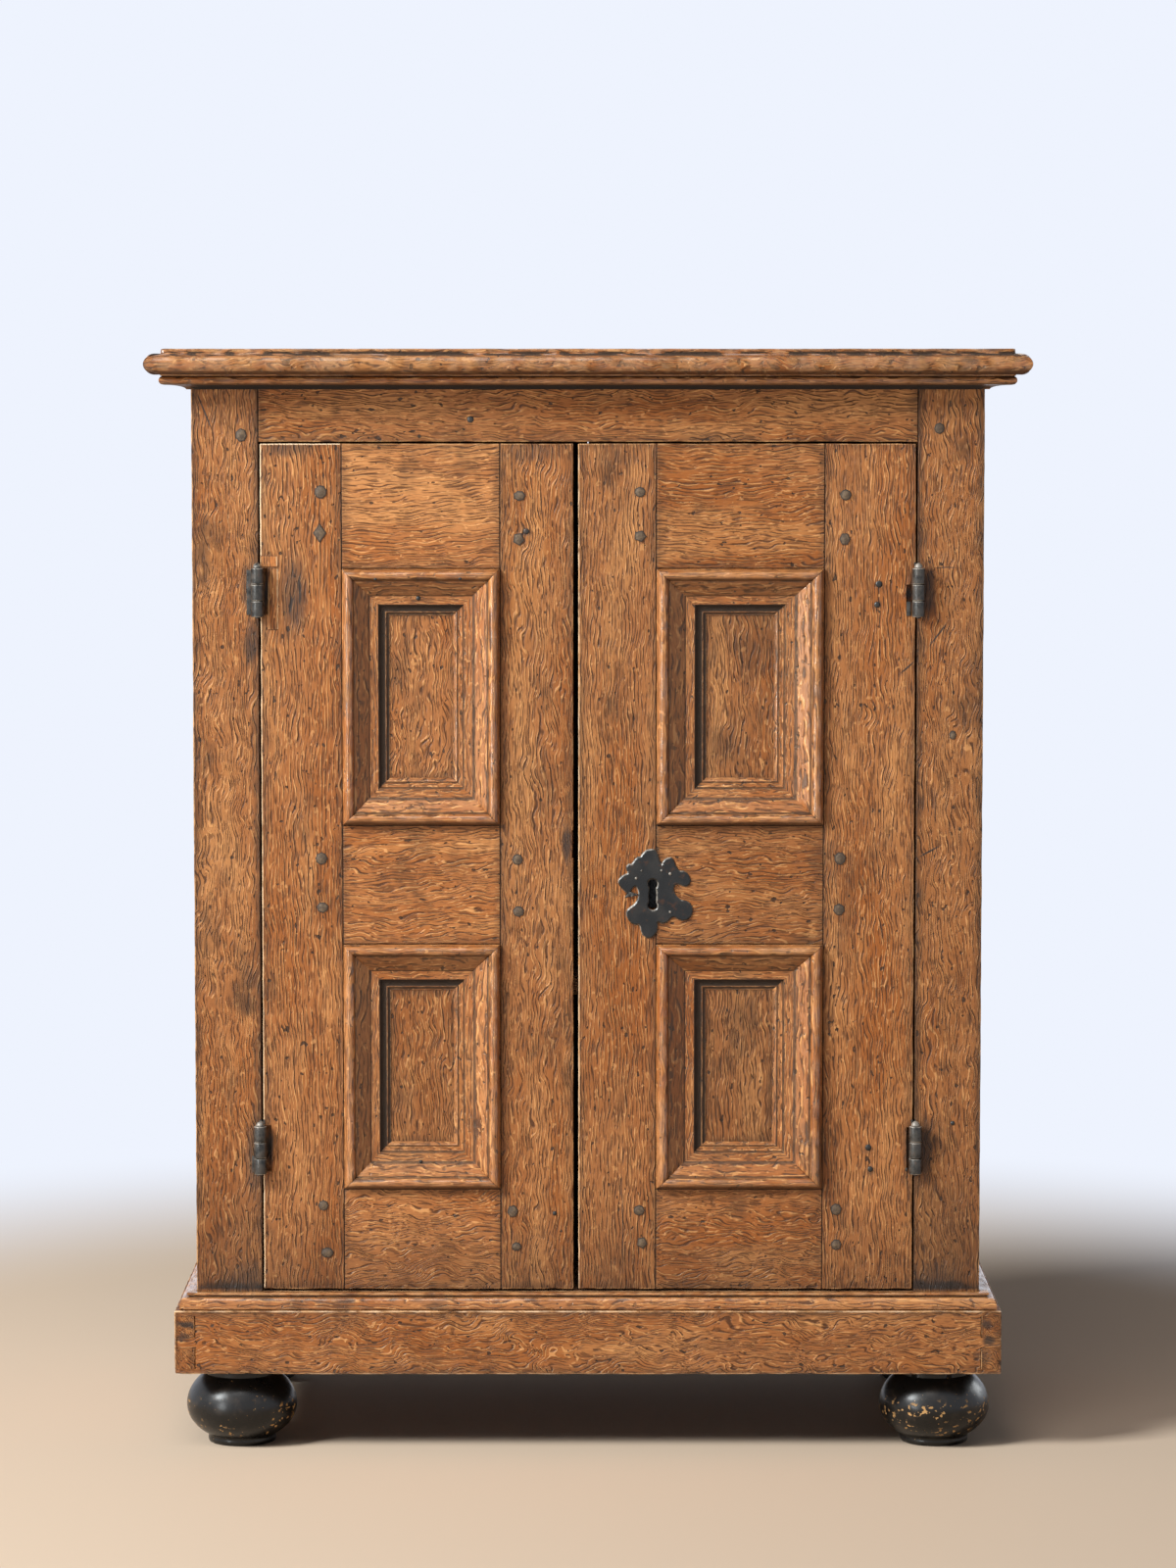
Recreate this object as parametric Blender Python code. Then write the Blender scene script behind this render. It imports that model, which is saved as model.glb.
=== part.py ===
"""A small two-door oak cupboard on turned bun feet, in the joined manner of the 1600s.

Framed posts and rails carry loose panels, two doors with mitred bolection mouldings hang on
iron barrel hinges, a lobed escutcheon covers the keyhole and a sliding bolt holds the left door.
Units are metres and +Z is up. The doors face -Y and the floor under the feet is Z = 0.
"""
import math

import bmesh
import bpy
from mathutils import Matrix, Vector

# Whole cupboard
cupboard_height = 1.182
carcass_width = 0.842
carcass_depth = 0.450
fit_gap = 0.0003
cut_overrun = 0.003
arris_ease = 0.0012

# Top board and the moulding under it
top_overhang = 0.0475
top_fillet_height = 0.0052
top_nosing_height = 0.0225
top_fillet_setback = 0.0180
nosing_arc_steps = 8
bed_height = 0.0151
bed_projection = 0.0310
bed_quirk_height = 0.0026
bed_quirk_depth = 0.0050
bed_fillet_height = 0.0061
bed_cove_step = 0.0040
bed_arc_steps = 5

# Posts and carcass rails
post_width = 0.071
post_depth = 0.078
frieze_height = 0.071
carcass_rail_thickness = 0.026
side_top_rail_height = 0.115
side_bottom_rail_height = 0.190
frame_groove_offset = 0.009
frame_groove_width = 0.010
panel_groove_depth = 0.008
tenon_length = 0.032
tenon_shoulder = 0.014

# Back boards, shelf and floor
back_board_thickness = 0.012
back_rebate_width = 0.012
back_joint_gap = 0.0010
floor_board_thickness = 0.018
shelf_thickness = 0.018
shelf_lock_distance = 0.05185
housing_depth = 0.006

# Plinth and its moulding
plinth_height = 0.0690
plinth_thickness = 0.0225
plinth_moulding_height = 0.0172
plinth_ovolo_projection = 0.0175
plinth_ovolo_top_projection = 0.0125
plinth_ovolo_height = 0.0124
plinth_fillet_projection = 0.0095
plinth_fillet_height = 0.0031
plinth_quirk_depth = 0.0020
plinth_arc_steps = 5
dovetail_count = 2
dovetail_root = 0.0170
dovetail_end = 0.0230

# Turned feet
foot_height = 0.0855
foot_diameter = 0.120
foot_neck_diameter = 0.080
foot_base_diameter = 0.074
foot_base_ring = 0.0080
foot_widest_height = 0.0410
foot_lower_swell = 0.0410
foot_upper_swell = 0.0460
foot_edge_distance = 0.0675
foot_spigot_diameter = 0.022
foot_spigot_length = 0.030
foot_segments = 24
foot_arc_steps = 5

# Doors
door_thickness = 0.024
door_side_gap = 0.0015
door_head_gap = 0.0015
door_foot_gap = 0.0020
door_stop_gap = 0.0006
meeting_gap = 0.0050
meeting_offset = 0.0130
left_hinge_stile_share = 0.25976
left_meeting_stile_share = 0.23423
right_meeting_stile_share = 0.23120
right_hinge_stile_share = 0.27020
door_top_rail_height = 0.1325
door_middle_rail_height = 0.1273
door_bottom_rail_height = 0.1088
lower_opening_share = 0.49128
door_tenon_length = 0.045
door_panel_recess = 0.009

# Bolection mouldings on the doors
moulding_width = 0.0505
moulding_proud = 0.0090
moulding_bead_width = 0.0120
moulding_cove_width = 0.0110
moulding_band_width = 0.0095
moulding_step_width = 0.0060
moulding_fillet_width = 0.0032
moulding_fillet_rise = 0.0014
bead_arc_steps = 8
bead_start_angle = 168
bead_end_angle = 25
cove_arc_steps = 5

# Butt hinges
hinge_height = 0.058
hinge_end_distance = 0.155
hinge_knuckle_radius = 0.0070
hinge_bore_radius = 0.0031
hinge_pin_radius = 0.0026
hinge_pin_head_radius = 0.0046
hinge_pin_head_height = 0.0050
hinge_pin_tip = 0.0012
hinge_knuckle_gap = 0.0004
hinge_knuckle_clearance = 0.0005
hinge_leaf_thickness = 0.0020
hinge_leaf_depth = 0.0170
hinge_axis_offset = 0.0010
hinge_knuckle_count = 3
hinge_segments = 16
dome_arc_steps = 4

# Escutcheon, keyhole and lock
escutcheon_size = 0.1004
escutcheon_thickness = 0.0018
keyhole_drop = 0.0105
keyhole_edge_distance = 0.0035
keyhole_height = 0.0330
keyhole_top_radius = 0.0052
keyhole_bottom_radius = 0.0050
keyhole_waist = 0.0078
keyhole_ease = 0.0006
keyhole_arc_steps = 6
lock_width = 0.104
lock_height = 0.082
lock_wall = 0.0018
lock_edge_distance = 0.0040
lock_bolt_length = 0.070
lock_bolt_height = 0.017
lock_bolt_thickness = 0.0075
lock_bolt_setback = 0.0006
lock_bolt_rise = 0.0120
slide_clearance = 0.0004

# Sliding bolt on the left door
slide_plate_width = 0.030
slide_plate_height = 0.105
slide_plate_thickness = 0.0020
slide_plate_edge_distance = 0.0200
slide_plate_head_distance = 0.0080
slide_bar_width = 0.012
slide_bar_thickness = 0.0070
slide_bar_length = 0.092
slide_bar_setback = 0.0030
slide_staple_width = 0.0200
slide_staple_height = 0.0080
slide_staple_wall = 0.0030
slide_staple_inset = 0.0060
slide_knob_radius = 0.0060
slide_knob_length = 0.0140
slide_knob_segments = 12

# Places worked out from the sizes above
half_width = carcass_width / 2
front_y = (top_overhang - carcass_depth) / 2
back_y = front_y + carcass_depth
post_inner_x = half_width - post_width
front_post_back_y = front_y + post_depth
rear_post_front_y = back_y - post_depth
back_board_front_y = back_y - back_board_thickness
top_low_z = cupboard_height - top_fillet_height - top_nosing_height
frieze_low_z = top_low_z - frieze_height
plinth_high_z = foot_height + plinth_height
plinth_moulding_low_z = plinth_high_z + fit_gap
plinth_moulding_high_z = plinth_moulding_low_z + plinth_moulding_height
door_low_z = plinth_moulding_high_z + door_foot_gap
door_high_z = frieze_low_z - door_head_gap
door_back_y = front_y + door_thickness
inside_front_y = door_back_y + door_stop_gap
floor_board_high_z = plinth_moulding_high_z
floor_board_low_z = floor_board_high_z - floor_board_thickness
side_bottom_rail_high_z = foot_height + side_bottom_rail_height
side_top_rail_low_z = top_low_z - side_top_rail_height
rail_inner_x = half_width - carcass_rail_thickness
groove_outer_x = half_width - frame_groove_offset
groove_inner_x = groove_outer_x - frame_groove_width
bottom_rail_high_z = door_low_z + door_bottom_rail_height
top_rail_low_z = door_high_z - door_top_rail_height
openings_height = top_rail_low_z - bottom_rail_high_z - door_middle_rail_height
middle_rail_low_z = bottom_rail_high_z + openings_height * lower_opening_share
middle_rail_high_z = middle_rail_low_z + door_middle_rail_height
hinge_axis_x = post_inner_x + hinge_axis_offset
hinge_axis_y = front_y - hinge_knuckle_radius - hinge_knuckle_clearance
upper_hinge_z = door_high_z - hinge_end_distance
lower_hinge_z = door_low_z + hinge_end_distance
meeting_centre_x = -meeting_offset
right_meeting_x = meeting_centre_x + meeting_gap / 2
left_meeting_x = meeting_centre_x - meeting_gap / 2
door_edge_x = post_inner_x - door_side_gap
left_door_width = door_edge_x + left_meeting_x
right_door_width = door_edge_x - right_meeting_x
left_hinge_stile_width = left_door_width * left_hinge_stile_share
left_meeting_stile_width = left_door_width * left_meeting_stile_share
right_meeting_stile_width = right_door_width * right_meeting_stile_share
right_hinge_stile_width = right_door_width * right_hinge_stile_share
keyhole_x = right_meeting_x + right_meeting_stile_width - keyhole_edge_distance
keyhole_z = (middle_rail_low_z + middle_rail_high_z) / 2 - keyhole_drop
lock_low_z = keyhole_z - lock_height / 2
shelf_low_z = lock_low_z - shelf_lock_distance - shelf_thickness

# Lobes of the escutcheon, clockwise from the top: centre and radius as shares of its size, then
# the angles in degrees where each arc starts and ends. A rising angle is a hollow between lobes.
escutcheon_lobe_shares = (
    (-0.018, 0.388, 0.107, 195, -15),
    (0.197, 0.324, 0.073, 150, -20),
    (0.330, 0.162, 0.080, 75, -110),
    (0.325, 0.034, 0.105, 152, 285),
    (0.328, -0.178, 0.103, 80, -130),
    (0.124, -0.235, 0.066, -10, -150),
    (-0.038, -0.383, 0.092, 50, -220),
    (-0.171, -0.236, 0.094, -100, -240),
    (-0.273, -0.016, 0.098, -40, 45),
    (-0.289, 0.132, 0.093, -70, -250),
    (-0.238, 0.294, 0.045, -120, -320),
)
escutcheon_arc_steps = 7


def clear_scene():
    for thing in list(bpy.data.objects):
        bpy.data.objects.remove(thing, do_unlink=True)


def make_material(name, colour, roughness, metallic):
    """One plain finish with its colour, roughness and metallic value."""
    material = bpy.data.materials.new(name)
    material.use_nodes = True
    shader = material.node_tree.nodes["Principled BSDF"]
    shader.inputs["Base Color"].default_value = (*colour, 1)
    shader.inputs["Roughness"].default_value = roughness
    shader.inputs["Metallic"].default_value = metallic
    material.diffuse_color = (*colour, 1)
    return material


# Meshes

def add_box(bm, low, high):
    """Add one box between two corners, which may come in either order."""
    corners = [sorted(pair) for pair in zip(low, high)]
    size = Vector([pair[1] - pair[0] for pair in corners])
    centre = Vector([(pair[0] + pair[1]) / 2 for pair in corners])
    made = bmesh.ops.create_cube(bm, size=1)
    bmesh.ops.scale(bm, vec=size, verts=made["verts"])
    bmesh.ops.translate(bm, vec=centre, verts=made["verts"])
    return made["verts"]


def box_mesh(low, high, eased=0):
    """A box whose four front edges may be eased by a small flat."""
    bm = bmesh.new()
    add_box(bm, low, high)
    if eased:
        front = min(vert.co.y for vert in bm.verts)
        edges = [edge for edge in bm.edges if all(vert.co.y <= front for vert in edge.verts)]
        bmesh.ops.bevel(bm, geom=edges, offset=eased, affect="EDGES", segments=1, profile=0.5)
    return bm


def outline_mesh(points, shift):
    """A flat outline pushed along the vector shift into a solid."""
    bm = bmesh.new()
    face = bm.faces.new([bm.verts.new(point) for point in points])
    made = bmesh.ops.extrude_face_region(bm, geom=[face])
    moved = [item for item in made["geom"] if isinstance(item, bmesh.types.BMVert)]
    bmesh.ops.translate(bm, vec=Vector(shift), verts=moved)
    bmesh.ops.recalc_face_normals(bm, faces=bm.faces)
    return bm


def mitred_run(profile, corners, place, closed):
    """Carry a moulding's profile round mitred corners.

    Each corner is a point and the direction in which the profile's first measure grows there.
    place turns the two plane measures and the profile's height into a point in space.
    """
    def station(corner):
        (a, b), (step_a, step_b) = corner
        return [place(a + step_a * u, b + step_b * u, v) for u, v in profile]

    bm = bmesh.new()
    cap = bm.faces.new([bm.verts.new(point) for point in station(corners[0])])
    first_cap = cap
    for corner in corners[1:]:
        old = list(cap.verts)
        made = bmesh.ops.extrude_face_region(bm, geom=[cap])
        if cap != first_cap:
            bmesh.ops.delete(bm, geom=[cap], context="FACES_ONLY")
        cap = [item for item in made["geom"] if isinstance(item, bmesh.types.BMFace)][0]
        for vert, point in zip(match_ring(old, cap), station(corner)):
            vert.co = point
    if closed:
        edges = list(first_cap.edges) + list(cap.edges)
        bmesh.ops.delete(bm, geom=[first_cap, cap], context="FACES_ONLY")
        bmesh.ops.bridge_loops(bm, edges=edges)
    bmesh.ops.recalc_face_normals(bm, faces=bm.faces)
    return bm


def match_ring(old, cap):
    """The new face's corners in the order of the old ones that they still lie on."""
    fresh = list(cap.verts)
    return [min(fresh, key=lambda vert: (vert.co - before.co).length) for before in old]


def arc_points(centre, radii, start, end, steps):
    """Points along part of an ellipse, with angles in degrees."""
    points = []
    for index in range(steps + 1):
        angle = math.radians(start + (end - start) * index / steps)
        points.append((centre[0] + radii[0] * math.cos(angle), centre[1] + radii[1] * math.sin(angle)))
    return points


def turned_mesh(profile, segments, centre=(0, 0, 0)):
    """Spin a profile of radius and height pairs round the vertical through centre."""
    bm = bmesh.new()
    verts = [bm.verts.new((radius, 0, height)) for radius, height in profile]
    edges = [bm.edges.new(pair) for pair in zip(verts, verts[1:])]
    bmesh.ops.spin(bm, geom=verts + edges, cent=(0, 0, 0), axis=(0, 0, 1), angle=2 * math.pi,
                   steps=segments, use_merge=True)
    bmesh.ops.remove_doubles(bm, verts=bm.verts, dist=fit_gap / 10)
    bmesh.ops.recalc_face_normals(bm, faces=bm.faces)
    bmesh.ops.translate(bm, vec=Vector(centre), verts=bm.verts)
    return bm


# Objects

def add_piece(name, bm, material, carrier=None, smooth=False):
    """Name a finished mesh, give it its finish and hang it on its carrier."""
    mesh = bpy.data.meshes.new(name)
    bm.to_mesh(mesh)
    bm.free()
    piece = bpy.data.objects.new(name, mesh)
    bpy.context.scene.collection.objects.link(piece)
    if material:
        mesh.materials.append(material)
    if smooth:
        mesh.shade_smooth()
        mesh.set_sharp_from_angle(angle=math.radians(40))
    if carrier:
        piece.parent = carrier
        piece.matrix_parent_inverse = carrier.matrix_basis.inverted()
    return piece


def add_axis(name, place, parent=None):
    """An empty on a joint's axis, which carries the pieces that move with it."""
    axis = bpy.data.objects.new(name, None)
    axis.empty_display_size = hinge_height
    bpy.context.scene.collection.objects.link(axis)
    axis.location = place
    if parent:
        axis.parent = parent
        axis.matrix_parent_inverse = Matrix.Translation(parent.location).inverted()
    return axis


def boolean(piece, bm, operation, label):
    """Cut a tool mesh from a piece, or join it on, with a modifier."""
    tool = add_piece(piece.name + "_" + label, bm, None)
    tool.parent = piece.parent
    tool.matrix_parent_inverse = piece.matrix_parent_inverse
    tool.hide_render = True
    tool.display_type = "WIRE"
    modifier = piece.modifiers.new(label, "BOOLEAN")
    modifier.operation = operation
    modifier.solver = "EXACT"
    modifier.object = tool


def cut_boxes(piece, boxes, label="pockets"):
    bm = bmesh.new()
    for low, high in boxes:
        add_box(bm, low, high)
    boolean(piece, bm, "DIFFERENCE", label)


def join_boxes(piece, boxes, label="tenons"):
    bm = bmesh.new()
    for low, high in boxes:
        add_box(bm, low, high)
    boolean(piece, bm, "UNION", label)


def grown(low, high, amount):
    """A box made larger by amount on every side."""
    pairs = [sorted(pair) for pair in zip(low, high)]
    return ([pair[0] - amount for pair in pairs], [pair[1] + amount for pair in pairs])


def mirrored(box, side):
    """A box kept on the right for side 1, or mirrored to the left for side -1."""
    low, high = box
    return (side * low[0], *low[1:]), (side * high[0], *high[1:])


# Top

def top_profile():
    """Fillet over a round nosing, measured outwards from the carcass and up from the underside."""
    radius = top_nosing_height / 2
    nose = arc_points((top_overhang - radius, radius), (radius, radius), -90, 90, nosing_arc_steps)
    setback = top_overhang - top_fillet_setback
    thickness = top_nosing_height + top_fillet_height
    return nose + [(setback, top_nosing_height), (setback, thickness)]


def top_board(material):
    """Stack the board from outlines that follow the profile on the front and both ends."""
    bm = bmesh.new()
    rows = []
    for reach, height in top_profile():
        x = half_width + reach
        y = front_y - reach
        z = top_low_z + height
        rows.append([bm.verts.new(corner) for corner in
                     ((-x, back_y, z), (-x, y, z), (x, y, z), (x, back_y, z))])
    bm.faces.new(rows[0])
    bm.faces.new(rows[-1])
    for lower, upper in zip(rows, rows[1:]):
        for index in range(len(lower)):
            following = (index + 1) % len(lower)
            bm.faces.new((lower[index], lower[following], upper[following], upper[index]))
    bmesh.ops.recalc_face_normals(bm, faces=bm.faces)
    add_piece("top_board", bm, material, smooth=True)


def wrap_corners():
    """The line round the front of the carcass, from back left to back right."""
    x = half_width + fit_gap
    y = front_y - fit_gap
    return [((-x, back_y), (-1, 0)), ((-x, y), (-1, -1)), ((x, y), (1, -1)), ((x, back_y), (1, 0))]


def cornice_moulding(material):
    """Quirk, fillet and cove that fill the angle under the top board."""
    quirk = bed_projection - bed_quirk_depth
    fillet_low = bed_quirk_height + bed_fillet_height
    cove_height = bed_height - fillet_low
    cove_reach = bed_projection - bed_cove_step * 2
    cove = arc_points((bed_projection - bed_cove_step, -bed_height), (cove_reach, cove_height),
                      90, 180, bed_arc_steps)
    profile = [(0, 0), (quirk, 0), (quirk, -bed_quirk_height), (bed_projection, -bed_quirk_height),
               (bed_projection, -fillet_low)] + cove + [(0, -bed_height)]
    base = top_low_z - fit_gap
    bm = mitred_run(profile, wrap_corners(), lambda a, b, v: (a, b, base + v), closed=False)
    add_piece("cornice_moulding", bm, material, smooth=True)


# Carcass

def side_rail_tenons(low_z, high_z):
    """Where the tenons of a side rail lie, from the front post to the rear one."""
    return ((groove_inner_x, front_post_back_y - tenon_length, low_z + tenon_shoulder),
            (groove_outer_x, rear_post_front_y + tenon_length, high_z - tenon_shoulder))


def side_panel_box():
    reach = panel_groove_depth - fit_gap
    return ((groove_inner_x + fit_gap, front_post_back_y - reach, side_bottom_rail_high_z - reach),
            (groove_outer_x - fit_gap, rear_post_front_y + reach, side_top_rail_low_z + reach))


def shared_post_pockets():
    """Mortises, panel groove, board housings and foot hole that cut into the posts of one side."""
    pockets = [grown(*side_rail_tenons(foot_height, side_bottom_rail_high_z), fit_gap),
               grown(*side_rail_tenons(side_top_rail_low_z, top_low_z), fit_gap),
               grown(*side_panel_box(), fit_gap)]
    for start_y, low_z, thickness in ((front_y - cut_overrun, floor_board_low_z, floor_board_thickness),
                                      (inside_front_y, shelf_low_z, shelf_thickness)):
        board = ((post_inner_x - cut_overrun, start_y, low_z),
                 (post_inner_x + housing_depth, back_y, low_z + thickness))
        pockets.append(grown(*board, fit_gap))
    return pockets


def foot_centre(side, front):
    inset = foot_edge_distance - plinth_thickness
    y = front_y + inset if front else back_y - foot_edge_distance
    return side * (half_width - inset), y


def dowel_hole(piece, side, front):
    """The round hole for a foot's spigot in the end of a post."""
    x, y = foot_centre(side, front)
    radius = foot_spigot_diameter / 2 + fit_gap
    top = foot_height + foot_spigot_length + fit_gap
    low = foot_height - cut_overrun
    bm = turned_mesh([(0, low), (radius, low), (radius, top), (0, top)], foot_segments, (x, y, 0))
    boolean(piece, bm, "DIFFERENCE", "dowel_hole")


def front_post(side, material):
    name = "front_post_" + side_name(side)
    low = (side * post_inner_x, front_y, foot_height)
    high = (side * half_width, front_post_back_y, top_low_z - fit_gap)
    piece = add_piece(name, box_mesh(low, high, arris_ease), material)
    pockets = shared_post_pockets()
    pockets.append(grown(*frieze_tenon(), fit_gap))
    pockets.extend(frame_leaf_pocket(z) for z in (lower_hinge_z, upper_hinge_z))
    cut_boxes(piece, [mirrored(box, side) for box in pockets])
    dowel_hole(piece, side, True)


def rear_post(side, material):
    name = "rear_post_" + side_name(side)
    low = (side * post_inner_x, rear_post_front_y, foot_height)
    high = (side * half_width, back_y, top_low_z - fit_gap)
    piece = add_piece(name, box_mesh(low, high), material)
    rebate = ((post_inner_x - cut_overrun, back_board_front_y - fit_gap, foot_height - cut_overrun),
              (post_inner_x + back_rebate_width, back_y + cut_overrun, top_low_z + cut_overrun))
    cut_boxes(piece, [mirrored(rebate, side)], "rebate")
    cut_boxes(piece, [mirrored(box, side) for box in shared_post_pockets()])
    dowel_hole(piece, side, False)


def side_name(side):
    return "left" if side < 0 else "right"


def frieze_tenon():
    """The frieze rail's tenons, both ends as one long tongue."""
    return ((-post_inner_x - tenon_length, front_y + frame_groove_offset, frieze_low_z + tenon_shoulder),
            (post_inner_x + tenon_length, front_y + frame_groove_offset + frame_groove_width,
             top_low_z - tenon_shoulder))


def frieze_rail(material):
    low = (-post_inner_x + fit_gap, front_y, frieze_low_z)
    high = (post_inner_x - fit_gap, front_y + carcass_rail_thickness, top_low_z - fit_gap)
    piece = add_piece("frieze_rail", box_mesh(low, high, arris_ease), material)
    join_boxes(piece, [frieze_tenon()])


def side_rail(side, level, material):
    """A rail between front and rear post, grooved for the panel and housed for the floor board."""
    if level == "top":
        low_z, high_z = side_top_rail_low_z, top_low_z - fit_gap
        groove_z = (low_z - cut_overrun, low_z + panel_groove_depth)
    else:
        low_z, high_z = foot_height, side_bottom_rail_high_z
        groove_z = (high_z - panel_groove_depth, high_z + cut_overrun)
    start = front_post_back_y + fit_gap
    end = rear_post_front_y - fit_gap
    name = "side_" + level + "_rail_" + side_name(side)
    low = (side * rail_inner_x, start, low_z)
    high = (side * half_width, end, high_z)
    piece = add_piece(name, box_mesh(low, high), material)
    grooves = [((groove_inner_x, start - cut_overrun, groove_z[0]),
                (groove_outer_x, end + cut_overrun, groove_z[1]))]
    if level == "bottom":
        housing = ((rail_inner_x - cut_overrun, start, floor_board_low_z),
                   (rail_inner_x + housing_depth, end, floor_board_high_z))
        grooves.append(grown(*housing, fit_gap))
    cut_boxes(piece, [mirrored(box, side) for box in grooves], "grooves")
    tenon_low, tenon_high = side_rail_tenons(low_z, high_z if level == "bottom" else top_low_z)
    join_boxes(piece, [mirrored((tenon_low, tenon_high), side)])


def side_panel(side, material):
    low, high = mirrored(side_panel_box(), side)
    add_piece("side_panel_" + side_name(side), box_mesh(low, high), material)


def back_board(side, material):
    low = (side * back_joint_gap / 2, back_board_front_y, foot_height)
    high = (side * (post_inner_x + back_rebate_width - fit_gap), back_y, top_low_z - fit_gap)
    add_piece("back_board_" + side_name(side), box_mesh(low, high), material)


def housed_board(name, start_y, low_z, thickness, wide_x, material):
    """A board notched round the posts, with its ends let into housings in them."""
    narrow_x = post_inner_x + housing_depth
    rear_y = back_board_front_y - fit_gap * 2
    notch_front = front_post_back_y + fit_gap
    notch_rear = rear_post_front_y - fit_gap
    right_side = [(narrow_x, start_y), (narrow_x, notch_front), (wide_x, notch_front),
                  (wide_x, notch_rear), (narrow_x, notch_rear), (narrow_x, rear_y)]
    left_side = [(-x, y) for x, y in reversed(right_side)]
    points = [(x, y, low_z) for x, y in right_side + left_side]
    add_piece(name, outline_mesh(points, (0, 0, thickness)), material)


# Plinth and feet

def dovetail(z, grow, overrun):
    """One tail in the plane of a side board, wider at its end than at its root.

    grow widens it all round, and overrun carries it on past its root and its end at the same taper.
    """
    taper = (dovetail_end - dovetail_root) / 2 / plinth_thickness
    root = dovetail_root / 2 + grow - taper * overrun
    end = dovetail_end / 2 + grow + taper * overrun
    root_y = front_y + overrun
    end_y = front_y - plinth_thickness - overrun
    return [(root_y, z - root), (root_y, z + root), (end_y, z + end), (end_y, z - end)]


def dovetail_heights():
    pitch = plinth_height / dovetail_count
    return [foot_height + pitch * (index + 0.5) for index in range(dovetail_count)]


def plinth_side(side, material):
    """A side board whose tails come through to the face of the front board."""
    x = side * (half_width + fit_gap)
    points = [(back_y, foot_height), (back_y, plinth_high_z), (front_y, plinth_high_z)]
    for z in reversed(dovetail_heights()):
        lower_root, upper_root, upper_end, lower_end = dovetail(z, 0, 0)
        points.extend([upper_root, upper_end, lower_end, lower_root])
    points.append((front_y, foot_height))
    bm = outline_mesh([(x, y, z) for y, z in points], (side * (plinth_thickness - fit_gap), 0, 0))
    add_piece("plinth_" + side_name(side), bm, material)


def plinth_front(material):
    reach = half_width + plinth_thickness
    low = (-reach, front_y - plinth_thickness, foot_height)
    high = (reach, front_y - fit_gap, plinth_high_z)
    piece = add_piece("plinth_front", box_mesh(low, high, arris_ease), material)
    bm = bmesh.new()
    for side in (-1, 1):
        for z in dovetail_heights():
            tail = dovetail(z, fit_gap, cut_overrun)
            face = bm.faces.new([bm.verts.new((side * half_width, y, height)) for y, height in tail])
            made = bmesh.ops.extrude_face_region(bm, geom=[face])
            moved = [item for item in made["geom"] if isinstance(item, bmesh.types.BMVert)]
            shift = Vector((side * (plinth_thickness + cut_overrun), 0, 0))
            bmesh.ops.translate(bm, vec=shift, verts=moved)
    bmesh.ops.recalc_face_normals(bm, faces=bm.faces)
    boolean(piece, bm, "DIFFERENCE", "sockets")


def plinth_moulding(material):
    """Ovolo under a small fillet, standing on the plinth and wrapped round the carcass."""
    ovolo_reach = plinth_ovolo_projection - plinth_ovolo_top_projection
    ovolo = arc_points((plinth_ovolo_top_projection, 0), (ovolo_reach, plinth_ovolo_height), 0, 90,
                       plinth_arc_steps)
    quirk = plinth_fillet_projection - plinth_quirk_depth
    fillet_low = plinth_moulding_height - plinth_fillet_height
    profile = ([(0, 0)] + ovolo + [(quirk, plinth_ovolo_height), (quirk, fillet_low),
               (plinth_fillet_projection, fillet_low), (plinth_fillet_projection, plinth_moulding_height),
               (0, plinth_moulding_height)])
    bm = mitred_run(profile, wrap_corners(), lambda a, b, v: (a, b, plinth_moulding_low_z + v),
                    closed=False)
    add_piece("plinth_moulding", bm, material, smooth=True)


def foot_profile():
    """Half outline of a bun foot, from the middle of its base up to the top of its spigot."""
    base = foot_base_diameter / 2
    neck = foot_neck_diameter / 2
    spigot = foot_spigot_diameter / 2
    widest = foot_diameter / 2
    top = foot_height - fit_gap
    centre = (0, foot_widest_height)
    lower_start = -math.degrees(math.acos(base / widest))
    upper_end = math.degrees(math.acos(neck / widest))
    lower = arc_points(centre, (widest, foot_lower_swell), lower_start, 0, foot_arc_steps)
    upper = arc_points(centre, (widest, foot_upper_swell), 0, upper_end, foot_arc_steps)
    ring = foot_base_ring / 3
    return ([(0, 0), (base - ring, 0), (base, ring), (base, foot_base_ring - ring)] + lower + upper[1:]
            + [(neck, top), (spigot, top), (spigot, top + foot_spigot_length), (0, top + foot_spigot_length)])


def feet(material):
    """Four feet that share one turned mesh."""
    mesh = None
    for front in (True, False):
        for side in (-1, 1):
            name = ("front" if front else "rear") + "_foot_" + side_name(side)
            if mesh is None:
                foot = add_piece(name, turned_mesh(foot_profile(), foot_segments), material, smooth=True)
                mesh = foot.data
            else:
                foot = bpy.data.objects.new(name, mesh)
                bpy.context.scene.collection.objects.link(foot)
            foot.location = (*foot_centre(side, front), 0)


# Hinges

def frame_leaf_pocket(z):
    """The recess in a front post's inner face that takes a hinge leaf."""
    return grown((post_inner_x - cut_overrun, front_y - cut_overrun, z - hinge_height / 2),
                 (post_inner_x + hinge_leaf_thickness, front_y + hinge_leaf_depth, z + hinge_height / 2),
                 fit_gap)


def door_leaf_pocket(z):
    """The recess in a door's hinge edge that takes the other leaf."""
    return grown((door_edge_x - hinge_leaf_thickness, front_y - cut_overrun, z - hinge_height / 2),
                 (door_edge_x + cut_overrun, front_y + hinge_leaf_depth, z + hinge_height / 2), fit_gap)


def knuckle_span(index, z):
    """Bottom and top of one knuckle, counted from below."""
    share = hinge_height / hinge_knuckle_count
    low = z - hinge_height / 2 + share * index
    return low + hinge_knuckle_gap / 2, low + share - hinge_knuckle_gap / 2


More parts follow.
